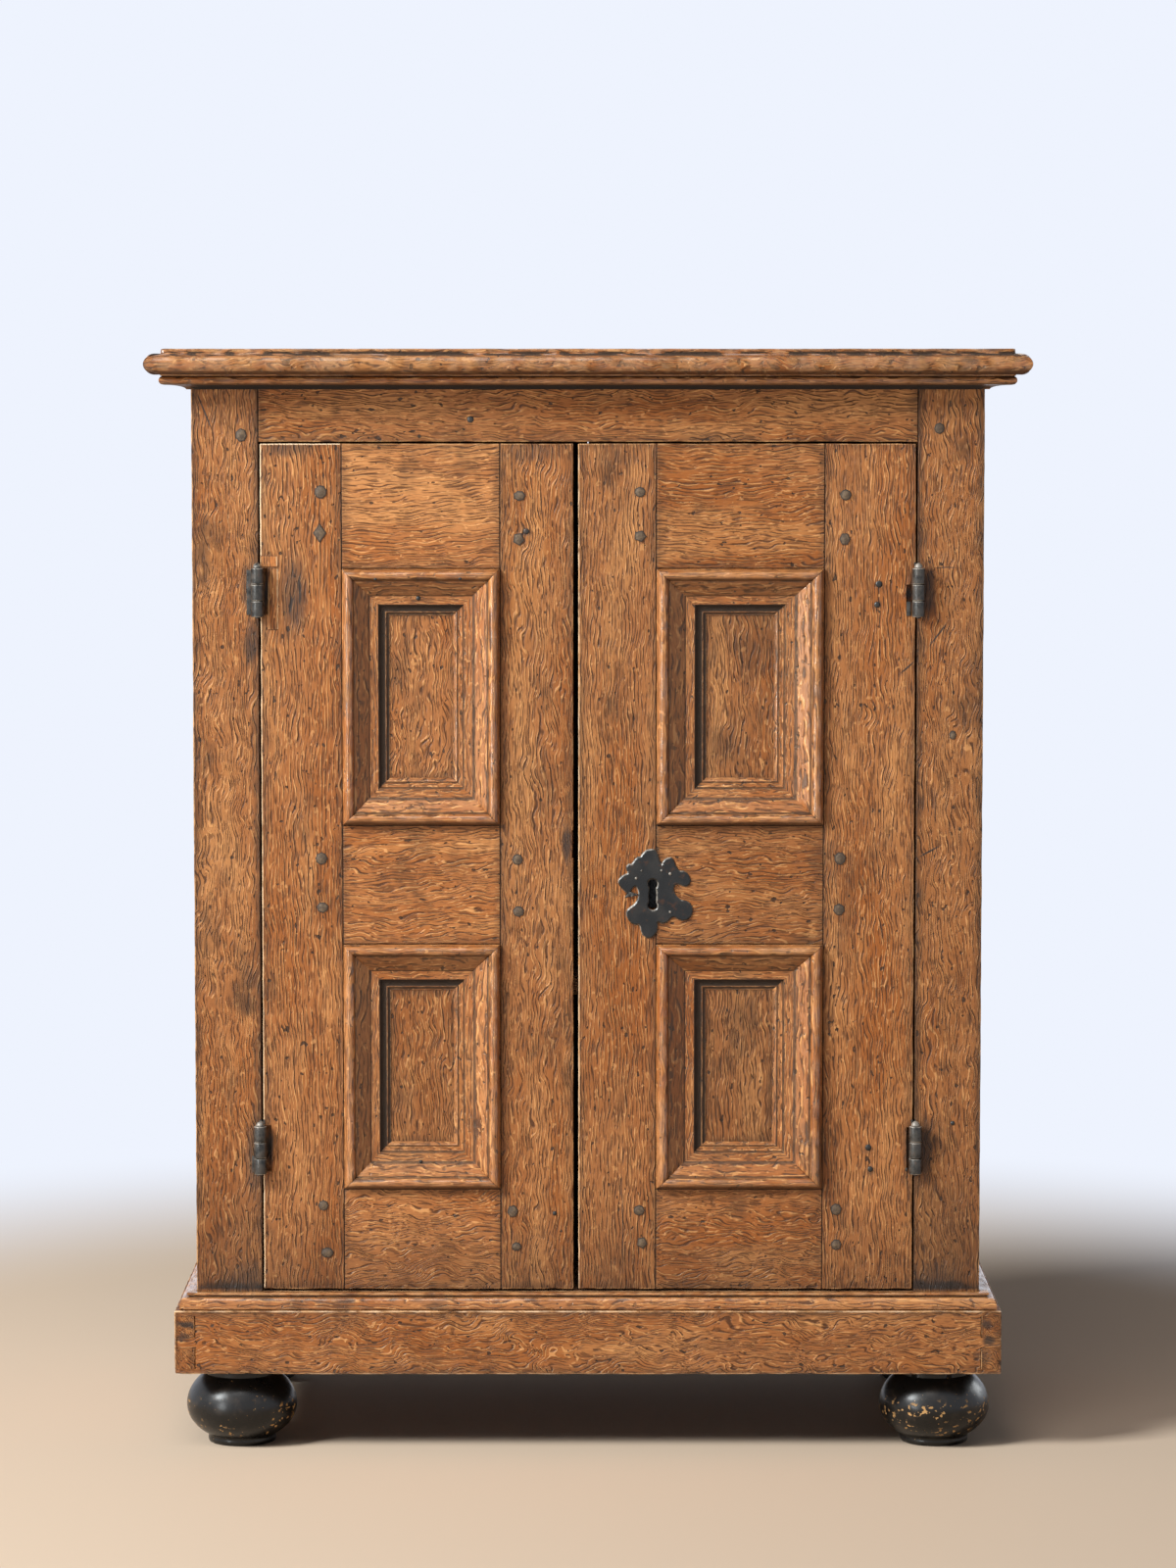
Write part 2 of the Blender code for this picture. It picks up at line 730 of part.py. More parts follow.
def hinge_leaf(name, side, z, plate_x, knuckles, material, carrier):
    """A leaf: a plate let into the wood, with tabs that run out to its own knuckles."""
    axis_x = side * hinge_axis_x
    low_z = z - hinge_height / 2
    inner_x, outer_x = sorted(side * x for x in plate_x)
    bm = bmesh.new()
    add_box(bm, (inner_x, front_y, low_z),
            (outer_x, front_y + hinge_leaf_depth, low_z + hinge_height))
    leaf = add_piece(name, bm, material, carrier)
    for index in knuckles:
        span = knuckle_span(index, z)
        barrel = turned_mesh([(0, span[0]), (hinge_knuckle_radius, span[0]),
                              (hinge_knuckle_radius, span[1]), (0, span[1])],
                             hinge_segments, (axis_x, hinge_axis_y, 0))
        tab_back = front_y + hinge_leaf_thickness
        join_boxes(leaf, [((inner_x, hinge_axis_y, span[0]), (outer_x, tab_back, span[1]))],
                   "tab_" + str(index))
        boolean(leaf, barrel, "UNION", "barrel_" + str(index))
    bore_low, bore_high = low_z - cut_overrun, low_z + hinge_height + cut_overrun
    bore = turned_mesh([(0, bore_low), (hinge_bore_radius, bore_low), (hinge_bore_radius, bore_high),
                        (0, bore_high)], hinge_segments, (axis_x, hinge_axis_y, 0))
    boolean(leaf, bore, "DIFFERENCE", "bore")


def hinge_pin(name, side, z, material):
    """A pin through the knuckles with a domed head on top."""
    low = z - hinge_height / 2 - hinge_pin_tip
    seat = z + hinge_height / 2 + fit_gap
    dome = arc_points((0, seat), (hinge_pin_head_radius, hinge_pin_head_height), 0, 90, dome_arc_steps)
    profile = [(0, low), (hinge_pin_radius, low), (hinge_pin_radius, seat)] + dome
    bm = turned_mesh(profile, hinge_segments, (side * hinge_axis_x, hinge_axis_y, 0))
    add_piece(name, bm, material, smooth=True)


def hinge(side, level, z, material, door):
    """A three-knuckle butt hinge: outer knuckles on the post, the middle one on the door."""
    stem = side_name(side) + "_" + level
    frame_plate = (post_inner_x, post_inner_x + hinge_leaf_thickness)
    door_plate = (door_edge_x - hinge_leaf_thickness, door_edge_x)
    outer = range(0, hinge_knuckle_count, 2)
    inner = range(1, hinge_knuckle_count, 2)
    hinge_leaf("hinge_post_leaf_" + stem, side, z, frame_plate, outer, material, None)
    hinge_leaf("hinge_door_leaf_" + stem, side, z, door_plate, inner, material, door)
    hinge_pin("hinge_pin_" + stem, side, z, material)


# Doors

def opening_levels():
    return (("lower", bottom_rail_high_z, middle_rail_low_z),
            ("upper", middle_rail_high_z, top_rail_low_z))


def rail_levels():
    return (("bottom", door_low_z, bottom_rail_high_z), ("middle", middle_rail_low_z, middle_rail_high_z),
            ("top", top_rail_low_z, door_high_z))


def groove_y():
    start = front_y + door_panel_recess
    return start, start + frame_groove_width


def door_joinery(inner_low_x, inner_high_x):
    """Tenons and panels that reach into the stiles on both sides of the opening."""
    near_y, far_y = groove_y()
    tongues = []
    for _, low_z, high_z in rail_levels():
        tongues.append(((inner_low_x - door_tenon_length, near_y, low_z + tenon_shoulder),
                        (inner_high_x + door_tenon_length, far_y, high_z - tenon_shoulder)))
    for _, low_z, high_z in opening_levels():
        tongues.append(((inner_low_x - panel_groove_depth, near_y, low_z - panel_groove_depth),
                        (inner_high_x + panel_groove_depth, far_y, high_z + panel_groove_depth)))
    return tongues


def door_stile(name, low_x, high_x, pockets, material, door):
    low = (low_x, front_y, door_low_z)
    high = (high_x, door_back_y, door_high_z)
    stile = add_piece(name, box_mesh(low, high, arris_ease), material, door)
    cut_boxes(stile, pockets)
    return stile


def door_rail(name, low_x, high_x, level, material, door):
    """A rail with grooves where it meets a panel, and a tenon at each end."""
    label, low_z, high_z = level
    near_y, far_y = groove_y()
    low = (low_x + fit_gap, front_y, low_z)
    high = (high_x - fit_gap, door_back_y, high_z)
    rail = add_piece(name, box_mesh(low, high, arris_ease), material, door)
    grooves = []
    if label != "top":
        grooves.append(((low_x - cut_overrun, near_y, high_z - panel_groove_depth),
                        (high_x + cut_overrun, far_y, high_z + cut_overrun)))
    if label != "bottom":
        grooves.append(((low_x - cut_overrun, near_y, low_z - cut_overrun),
                        (high_x + cut_overrun, far_y, low_z + panel_groove_depth)))
    cut_boxes(rail, grooves, "grooves")
    join_boxes(rail, [((low_x - door_tenon_length, near_y + fit_gap, low_z + tenon_shoulder),
                       (high_x + door_tenon_length, far_y - fit_gap, high_z - tenon_shoulder))])
    return rail


def door_panel(name, low_x, high_x, low_z, high_z, material, door):
    near_y, far_y = groove_y()
    reach = panel_groove_depth - fit_gap
    low = (low_x - reach, near_y + fit_gap, low_z - reach)
    high = (high_x + reach, far_y - fit_gap, high_z + reach)
    add_piece(name, box_mesh(low, high), material, door)


def moulding_profile():
    """Bolection profile from the outer edge inwards: fillet, bead, cove, band and two steps."""
    back = -door_panel_recess
    bead_start = moulding_fillet_width
    bead_end = bead_start + moulding_bead_width
    bead = arc_points(((bead_start + bead_end) / 2, 0), (moulding_bead_width / 2, moulding_proud),
                      bead_start_angle, bead_end_angle, bead_arc_steps)
    cove_end = bead_end + moulding_cove_width
    cove_top = bead[-1][1]
    cove = arc_points((cove_end, cove_top), (moulding_cove_width, cove_top), 180, 270, cove_arc_steps)
    band_end = cove_end + moulding_band_width
    band_rise = moulding_fillet_rise
    step_drop = door_panel_recess / 3
    step_end = band_end + moulding_step_width
    rest_end = moulding_width - moulding_fillet_width / 2
    return ([(0, back), (0, moulding_fillet_rise)] + bead + cove
            + [(cove_end, band_rise), (cove_end + band_rise, band_rise * 2),
               (band_end - band_rise, band_rise * 2), (band_end, 0),
               (band_end, -step_drop), (step_end, -step_drop),
               (step_end, -step_drop * 2), (rest_end, -step_drop * 2),
               (moulding_width, -step_drop * 2 - moulding_fillet_rise), (moulding_width, back)])


def panel_moulding(name, low_x, high_x, low_z, high_z, material, door):
    """The mitred frame planted round a panel, seated on its face inside the opening."""
    profile = [(u, v + fit_gap if v > -door_panel_recess else v) for u, v in moulding_profile()]
    left, right = low_x + fit_gap, high_x - fit_gap
    bottom, top = low_z + fit_gap, high_z - fit_gap
    corners = [((left, bottom), (1, 1)), ((right, bottom), (-1, 1)),
               ((right, top), (-1, -1)), ((left, top), (1, -1))]
    bm = mitred_run(profile, corners, lambda a, b, v: (a, front_y - v, b), closed=True)
    add_piece(name, bm, material, door, smooth=True)


def door_frame(side, door, materials):
    """Stiles, rails, panels and mouldings of one door."""
    stem = side_name(side) + "_door_"
    hinge_edge = side * door_edge_x
    if side < 0:
        stile_x = (hinge_edge, hinge_edge + left_hinge_stile_width,
                   left_meeting_x - left_meeting_stile_width, left_meeting_x)
        stile_names = ("hinge_stile", "meeting_stile")
    else:
        stile_x = (right_meeting_x, right_meeting_x + right_meeting_stile_width,
                   hinge_edge - right_hinge_stile_width, hinge_edge)
        stile_names = ("meeting_stile", "hinge_stile")
    low_x, high_x = stile_x[1], stile_x[2]
    pockets = [grown(*box, fit_gap) for box in door_joinery(low_x, high_x)]
    hinge_pockets = [mirrored(door_leaf_pocket(z), side) for z in (lower_hinge_z, upper_hinge_z)]
    oak = materials["frame"]
    pieces = {}
    for name, edges in zip(stile_names, (stile_x[:2], stile_x[2:])):
        cuts = pockets + (hinge_pockets if name == "hinge_stile" else [])
        pieces[name] = door_stile(stem + name, *edges, cuts, oak, door)
    for level in rail_levels():
        pieces[level[0]] = door_rail(stem + level[0] + "_rail", low_x, high_x, level, oak, door)
    for label, low_z, high_z in opening_levels():
        door_panel(stem + label + "_panel", low_x, high_x, low_z, high_z, materials["panel"], door)
        panel_moulding(stem + label + "_moulding", low_x, high_x, low_z, high_z, materials["moulding"], door)
    return pieces


# Escutcheon and lock

def keyhole_mesh(grow, low_y, high_y):
    """A solid in the shape of the keyhole: a round over a waisted slot."""
    half = keyhole_height / 2
    top = keyhole_top_radius + grow
    bottom = keyhole_bottom_radius + grow
    waist = keyhole_waist / 2 + grow
    upper = arc_points((0, half - keyhole_top_radius), (top, top), -50, 230, keyhole_arc_steps)
    lower = arc_points((0, keyhole_bottom_radius - half), (bottom, bottom), 140, 400, keyhole_arc_steps)
    outline = upper + [(-waist, 0)] + lower + [(waist, 0)]
    points = [(keyhole_x + x, low_y, keyhole_z + z) for x, z in outline]
    return outline_mesh(points, (0, high_y - low_y, 0))


def escutcheon(material, door):
    """The lobed plate, drawn lobe by lobe round the keyhole."""
    outline = []
    for x_share, z_share, radius_share, start, end in escutcheon_lobe_shares:
        radius = radius_share * escutcheon_size
        centre = (keyhole_x + x_share * escutcheon_size, keyhole_z + z_share * escutcheon_size)
        outline.extend(arc_points(centre, (radius, radius), start, end, escutcheon_arc_steps))
    back = front_y - fit_gap
    points = [(x, back, z) for x, z in outline]
    plate = add_piece("escutcheon", outline_mesh(points, (0, -escutcheon_thickness, 0)), material, door)
    hole = keyhole_mesh(0, back - escutcheon_thickness - cut_overrun, back + cut_overrun)
    boolean(plate, hole, "DIFFERENCE", "keyhole")


def lock_sizes():
    """Corners of the lock case on the back of the right door."""
    depth = lock_wall + slide_clearance * 2 + lock_bolt_thickness
    low = (right_meeting_x + lock_edge_distance, door_back_y + fit_gap, lock_low_z)
    high = (low[0] + lock_width, low[1] + depth, low[2] + lock_height)
    return low, high


def lock_bolt_box():
    low, _ = lock_sizes()
    start_x = right_meeting_x + lock_bolt_setback
    start_y = low[1] + slide_clearance
    start_z = keyhole_z + lock_bolt_rise
    return ((start_x, start_y, start_z),
            (start_x + lock_bolt_length, start_y + lock_bolt_thickness, start_z + lock_bolt_height))


def lock(material, door, bolt_axis):
    """An open-backed iron case on the door's back, and the bolt that shoots out of it."""
    low, high = lock_sizes()
    case = add_piece("lock_case", box_mesh(low, high), material, door)
    hollow = ((low[0] + lock_wall, low[1] - cut_overrun, low[2] + lock_wall),
              (high[0] - lock_wall, high[1] - lock_wall, high[2] - lock_wall))
    cut_boxes(case, [hollow], "hollow")
    bolt_low, bolt_high = lock_bolt_box()
    slot = grown(bolt_low, bolt_high, slide_clearance)
    slot = ((low[0] - cut_overrun, *slot[0][1:]), (low[0] + lock_wall + cut_overrun, *slot[1][1:]))
    cut_boxes(case, [slot], "slot")
    add_piece("lock_bolt", box_mesh(bolt_low, bolt_high), material, bolt_axis)


def bore_keyhole(pieces):
    """Bore the keyhole through the wood behind the escutcheon."""
    for name in ("meeting_stile", "middle"):
        hole = keyhole_mesh(keyhole_ease, front_y - cut_overrun, door_back_y + cut_overrun)
        boolean(pieces[name], hole, "DIFFERENCE", "keyhole")


# Sliding bolt

def slide_bar_box():
    plate_back = door_back_y + fit_gap + slide_plate_thickness
    centre_x = left_meeting_x - slide_plate_edge_distance - slide_plate_width / 2
    high_z = door_high_z - slide_bar_setback
    low_y = plate_back + slide_clearance
    return ((centre_x - slide_bar_width / 2, low_y, high_z - slide_bar_length),
            (centre_x + slide_bar_width / 2, low_y + slide_bar_thickness, high_z))


def slide_bolt_plate(material, door):
    """A plate with two staples that hold the bar against the back of the left door."""
    bar_low, bar_high = slide_bar_box()
    centre_x = (bar_low[0] + bar_high[0]) / 2
    plate_low_y = door_back_y + fit_gap
    high_z = door_high_z - slide_plate_head_distance
    low = (centre_x - slide_plate_width / 2, plate_low_y, high_z - slide_plate_height)
    high = (centre_x + slide_plate_width / 2, plate_low_y + slide_plate_thickness, high_z)
    plate = add_piece("slide_bolt_plate", box_mesh(low, high), material, door)
    staple_back = bar_high[1] + slide_clearance + slide_staple_wall
    staples = []
    for z in (low[2] + slide_staple_inset, high[2] - slide_staple_inset - slide_staple_height):
        staples.append(((centre_x - slide_staple_width / 2, plate_low_y + slide_plate_thickness / 2, z),
                        (centre_x + slide_staple_width / 2, staple_back, z + slide_staple_height)))
    join_boxes(plate, staples, "staples")
    channel = grown(bar_low, bar_high, slide_clearance)
    channel = ((*channel[0][:2], low[2] - cut_overrun), (*channel[1][:2], high[2] + cut_overrun))
    cut_boxes(plate, [channel], "channel")


def slide_bolt(material, axis):
    """The bar and its knob, which stands between the staples."""
    low, high = slide_bar_box()
    bar = add_piece("slide_bolt", box_mesh(low, high), material, axis)
    plate_high_z = door_high_z - slide_plate_head_distance
    between = slide_staple_inset + slide_staple_height
    knob_z = plate_high_z - slide_plate_height + between + slide_knob_radius + slide_clearance
    neck = slide_knob_radius / 2
    root = -slide_bar_thickness / 2
    collar = slide_knob_length / 2
    knob = turned_mesh([(0, root), (neck, root), (neck, collar), (slide_knob_radius, collar),
                        (slide_knob_radius, slide_knob_length), (0, slide_knob_length)],
                       slide_knob_segments)
    bmesh.ops.rotate(knob, cent=(0, 0, 0), matrix=Matrix.Rotation(-math.pi / 2, 3, "X"), verts=knob.verts)
    centre = Vector(((low[0] + high[0]) / 2, high[1], knob_z))
    bmesh.ops.translate(knob, vec=centre, verts=knob.verts)
    boolean(bar, knob, "UNION", "knob")


def make_materials():
    return {
        "frame": make_material("antique_oak", (0.36, 0.15, 0.058), 0.48, 0),
        "moulding": make_material("polished_oak", (0.42, 0.19, 0.075), 0.36, 0),
        "panel": make_material("figured_oak", (0.33, 0.14, 0.052), 0.45, 0),
        "inside": make_material("plain_oak", (0.25, 0.14, 0.075), 0.75, 0),
        "foot": make_material("ebonised_wood", (0.022, 0.018, 0.015), 0.30, 0),
        "iron": make_material("dark_iron", (0.045, 0.040, 0.037), 0.50, 0.9),
    }


def carcass(materials):
    top_board(materials["frame"])
    cornice_moulding(materials["moulding"])
    frieze_rail(materials["frame"])
    for side in (-1, 1):
        front_post(side, materials["frame"])
        rear_post(side, materials["frame"])
        side_rail(side, "top", materials["frame"])
        side_rail(side, "bottom", materials["frame"])
        side_panel(side, materials["panel"])
        back_board(side, materials["inside"])
        plinth_side(side, materials["frame"])
    plinth_front(materials["frame"])
    plinth_moulding(materials["moulding"])
    feet(materials["foot"])
    housed_board("floor_board", front_y, floor_board_low_z, floor_board_thickness,
                 rail_inner_x + housing_depth, materials["inside"])
    housed_board("shelf", inside_front_y, shelf_low_z, shelf_thickness, groove_inner_x,
                 materials["inside"])


def doors(materials):
    iron = materials["iron"]
    for side in (-1, 1):
        stem = side_name(side)
        door = add_axis(stem + "_door_axis", (side * hinge_axis_x, hinge_axis_y, lower_hinge_z))
        pieces = door_frame(side, door, materials)
        for level, z in (("lower", lower_hinge_z), ("upper", upper_hinge_z)):
            hinge(side, level, z, iron, door)
        if side < 0:
            slide_bolt_plate(iron, door)
            bar_low, _ = slide_bar_box()
            slide_bolt(iron, add_axis("slide_bolt_axis", bar_low, door))
        else:
            bore_keyhole(pieces)
            escutcheon(iron, door)
            bolt_low, _ = lock_bolt_box()
            lock(iron, door, add_axis("lock_bolt_axis", bolt_low, door))


def main():
    clear_scene()
    materials = make_materials()
    carcass(materials)
    doors(materials)


main()
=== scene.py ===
"""Looks of a small two-door joined oak cupboard on turned bun feet.

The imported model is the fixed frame. Over it the wooden members are shaped again with worn arrises
and an uneven hand-planed face, the mouldings, feet, hinges and escutcheon are cut more finely, and
pegs, nails and a let-in repair are added. Units are metres, +Z is up and the doors face -Y.
"""
import math

import bmesh
import bpy
from bpy.props import FloatProperty, FloatVectorProperty, PointerProperty
from mathutils import Matrix, Vector, noise


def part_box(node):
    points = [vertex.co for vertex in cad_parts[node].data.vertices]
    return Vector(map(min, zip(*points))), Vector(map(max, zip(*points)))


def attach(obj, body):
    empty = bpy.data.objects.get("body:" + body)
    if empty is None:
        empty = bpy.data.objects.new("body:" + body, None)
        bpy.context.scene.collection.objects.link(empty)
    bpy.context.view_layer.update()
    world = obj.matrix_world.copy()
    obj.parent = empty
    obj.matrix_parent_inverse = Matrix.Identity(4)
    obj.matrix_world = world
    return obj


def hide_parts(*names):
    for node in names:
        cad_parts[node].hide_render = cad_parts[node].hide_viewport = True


bl_info = {
    "name": "Two-door oak cupboard",
    "version": (1, 0, 0),
    "blender": (4, 5, 0),
    "location": "3D View > Sidebar > Cupboard",
    "description": "Builds the worn oak, iron and ebonised finishes of a small joined cupboard",
    "category": "Object",
}

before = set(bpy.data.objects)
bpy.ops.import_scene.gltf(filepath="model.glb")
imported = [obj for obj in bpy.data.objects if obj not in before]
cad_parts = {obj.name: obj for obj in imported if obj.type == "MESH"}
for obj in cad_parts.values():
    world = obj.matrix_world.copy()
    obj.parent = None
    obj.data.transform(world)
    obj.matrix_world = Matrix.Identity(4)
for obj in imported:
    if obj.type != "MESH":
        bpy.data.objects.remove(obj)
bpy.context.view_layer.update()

SIDES = ("left", "right")
LEVELS = ("lower", "upper")
FRONT_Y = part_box("front_post_left")[0].y
POST_INNER_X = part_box("front_post_right")[0].x
HALF_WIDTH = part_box("front_post_right")[1].x
BACK_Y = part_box("rear_post_right")[1].y
PLINTH_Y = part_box("plinth_front")[0].y
PLINTH_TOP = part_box("plinth_front")[1].z
FIT_GAP = 0.0003  # between members that touch
ARM_WIDENING = {"left": 1.0, "right": 1.065}  # of the upright arms of a door's mouldings
MOULDING_INNER = 0.0475  # from the outer edge of a door's moulding to its panel
LEAF_DEPTH = 0.017
LEAF_THICKNESS = 0.002
END_RINGS = (0, 0.0017, 0.004, 0.009)  # how far from a member's ends it has rings of points
ARRIS_REACH = 0.0016  # how near an edge a point belongs to its arris
TINY = 1e-5

# Where each member's colour departs from the common oak: lightness, grime and curl of the figure
MEMBER_TONES = {
    "front_post_left": (-0.03, 1.3, 0.7),
    "front_post_right": (-0.05, 1.35, 0.75),
    "rear_post_left": (-0.1, 1.0, 0.6),
    "rear_post_right": (-0.12, 1.0, 0.6),
    "frieze_rail": (0.0, 0.9, 0.7),
    "top_board": (-0.1, 1.0, 1.0),
    "plinth_front": (0.0, 1.0, 1.7),
    "plinth_left": (-0.06, 1.0, 1.2),
    "plinth_right": (-0.08, 1.0, 1.2),
    "left_door_hinge_stile": (0.01, 0.9, 0.35),
    "left_door_meeting_stile": (-0.02, 0.9, 0.6),
    "left_door_top_rail": (0.2, 0.8, 0.4),
    "left_door_middle_rail": (0.17, 0.8, 0.7),
    "left_door_bottom_rail": (0.18, 0.9, 1.5),
    "left_door_upper_panel": (0.08, 0.9, 0.8),
    "left_door_lower_panel": (-0.14, 1.0, 0.7),
    "right_door_meeting_stile": (-0.04, 0.9, 0.35),
    "right_door_hinge_stile": (0.04, 0.8, 0.5),
    "right_door_top_rail": (0.02, 0.8, 0.5),
    "right_door_middle_rail": (-0.06, 0.9, 0.7),
    "right_door_bottom_rail": (0.1, 0.9, 1.5),
    "right_door_upper_panel": (-0.1, 0.9, 0.7),
    "right_door_lower_panel": (-0.2, 1.0, 0.6),
}
PLAIN_TONE = (-0.12, 0.8, 0.6)

# Marks on the wood: x, z, half width, half height, turn in degrees and strength
CARCASS_MARKS = (
    (-0.359, 0.871, 0.009, 0.034, 0, 0.7), (-0.36, 0.93, 0.013, 0.04, 0, 0.6),
    # The marks at x 0.362 on the next two lines, right of the right-hand barrels, are partly grime and partly
    # painted shade.
    (0.362, 0.926, 0.011, 0.04, 0, 0.8), (-0.358, 0.32, 0.012, 0.055, 0, 0.7),
    (0.362, 0.326, 0.011, 0.045, 0, 0.8), (0.3725, 0.879, 0.0014, 0.022, 38, 1),
    (0.365, 0.647, 0.0015, 0.017, 62, 1), (0.38, 0.9503, 0.018, 0.0009, 0, 0.9),
    (-0.368, 0.176, 0.03, 0.04, 0, 0.5), (0.376, 0.176, 0.032, 0.04, 0, 0.5),
    (-0.1787, 1.0906, 0.0026, 0.003, 0, 1), (-0.431, 0.1405, 0.015, 0.0055, 0, 0.9),
    (-0.434, 0.1275, 0.011, 0.005, 0, 0.7), (0.429, 0.141, 0.009, 0.007, 0, 0.8),
    (0.43, 0.1235, 0.0085, 0.008, 0, 0.9), (0.424, 0.106, 0.016, 0.01, 0, 0.45),
    (-0.403, 0.1395, 0.003, 0.0026, 0, 0.9),
    (0.37, 0.695, 0.001, 0.03, 0, 0.6), (-0.4053, 1.1122, 0.0013, 0.027, -22, 1),
)
DOOR_MARKS = (
    (-0.312, 0.922, 0.0195, 0.058, 0, 0.66), (-0.3062, 0.927, 0.0032, 0.03, 0, 1),
    (-0.316, 0.912, 0.0032, 0.018, 4, 1), (-0.318, 0.905, 0.003, 0.018, 8, 0.6),
    # The next six marks, in and round the notches beside the barrels, are painted shade.
    (-0.3422, 0.9248, 0.0052, 0.029, 0, 1), (-0.342, 0.328, 0.0054, 0.029, 0, 1),
    (0.342, 0.9223, 0.006, 0.012, 0, 1), (0.344, 0.327, 0.0042, 0.026, 0, 0.9),
    (0.344, 0.93, 0.006, 0.036, 0, 0.5), (0.342, 0.329, 0.006, 0.036, 0, 0.5),
    (0.34, 0.844, 0.0015, 0.014, 48, 1), (0.037, 0.25, 0.0007, 0.08, -1, 1),
    (0.3093, 0.9326, 0.006, 0.008, 0, 0.5), (0.3074, 0.9108, 0.006, 0.008, 0, 0.5),
    (0.3008, 0.3278, 0.006, 0.008, 0, 0.5), (0.303, 0.3044, 0.006, 0.008, 0, 0.5),
    (-0.023, 0.655, 0.007, 0.03, 0, 0.8), (-0.0656, 0.9888, 0.007, 0.006, 0, 0.6),
    (-0.318, 1.076, 0.03, 0.01, 0, 0.5), (-0.06, 1.072, 0.046, 0.012, 0, 0.4),
)

# Pegs on the front of each body: x, z, half width, half height, turn in degrees and number of sides
PEGS = {
    "carcass": ((-0.3678, 1.0906, 0.0056, 0.0066, 10, 7), (0.3724, 1.0978, 0.005, 0.0054, 0, 8),
                (0.3885, 0.7718, 0.0034, 0.0046, 20, 7)),
    "left_door": ((-0.2839, 1.0304, 0.006, 0.0066, 15, 8), (-0.2851, 0.9868, 0.0064, 0.0092, 0, 4),
                  (-0.2847, 0.6396, 0.0058, 0.006, 0, 8), (-0.2838, 0.587, 0.0058, 0.0052, 30, 7),
                  (-0.2843, 0.265, 0.005, 0.0052, 0, 8), (-0.2803, 0.2139, 0.006, 0.0052, 12, 8),
                  (-0.0728, 1.0263, 0.0058, 0.005, 20, 7), (-0.0739, 0.9805, 0.0058, 0.0064, 45, 5),
                  (-0.0753, 0.6385, 0.0052, 0.0054, 0, 8), (-0.0744, 0.5827, 0.0056, 0.0054, 25, 7),
                  (-0.0811, 0.2587, 0.0054, 0.0062, 40, 6), (-0.0769, 0.2203, 0.0048, 0.0044, 0, 7)),
    "right_door": ((0.0551, 1.0304, 0.0054, 0.005, 10, 8), (0.0552, 0.9836, 0.0062, 0.0058, 50, 5),
                   (0.0548, 0.2597, 0.0054, 0.0052, 0, 8), (0.0579, 0.2246, 0.0052, 0.006, 45, 5),
                   (0.2735, 1.0273, 0.0054, 0.0054, 0, 8), (0.2727, 0.9805, 0.0054, 0.0062, 30, 6),
                   (0.269, 0.6396, 0.0056, 0.0062, 15, 8), (0.2681, 0.5848, 0.0056, 0.0058, 0, 7),
                   (0.2664, 0.2608, 0.0054, 0.0058, 10, 8), (0.2666, 0.2224, 0.0052, 0.0056, 20, 7)),
}

# Nail heads on the front of each body: x, z, radius and how far their seat stands out
NAILS = {
    "carcass": ((-0.1246, 1.1072, 0.0038, 0), (0.3911, 0.3543, 0.0026, 0)),
    "left_door": ((-0.0656, 0.9888, 0.0034, 0), (-0.0358, 0.2565, 0.0026, 0),
                  (-0.2255, 0.9387, 0.0022, 0.0074), (-0.1357, 0.9392, 0.0022, 0.0078),
                  (-0.1805, 0.9174, 0.0026, -0.0034), (-0.1795, 0.312, 0.002, -0.0026)),
    "right_door": ((0.3093, 0.9326, 0.0038, 0), (0.3074, 0.9108, 0.0034, 0),
                   (0.3008, 0.3278, 0.0036, 0), (0.303, 0.3044, 0.0032, 0),
                   (0.0514, 0.6186, 0.0016, 0.0022), (0.0878, 0.6234, 0.0018, 0.0022),
                   (0.0878, 0.5824, 0.0016, 0.0022), (0.0572, 0.6269, 0.0013, 0.0022),
                   (0.0785, 0.6269, 0.0015, 0.0022)),
}

# Width of the notch in the door beside each barrel, and where it starts and ends above its foot
NOTCHES = {"left_upper": (0.0082, 0.002, 0.052), "left_lower": (0.0088, 0.002, 0.052),
           "right_upper": (0.0103, 0.0145, 0.0345), "right_lower": (0.007, 0.004, 0.05)}

# Iron beside each barrel: on which body, its x from and to, and its height above the barrel's foot
HINGE_STRIPS = {"left_upper": ("carcass", -0.363, -0.356, 0.002, 0.05),
                "left_lower": ("carcass", -0.3608, -0.356, 0.001, 0.019),
                "right_upper": ("door", 0.3384, 0.3432, 0.001, 0.0165),
                "right_lower": ("door", 0.3405, 0.3432, 0.002, 0.006)}


def linear(red, green, blue):
    """A colour written as it looks on screen, from 0 to 255, as linear light."""
    shares = [value / 255 for value in (red, green, blue)]
    return tuple(s / 12.92 if s <= 0.04045 else ((s + 0.055) / 1.055) ** 2.4 for s in shares)


# Settings

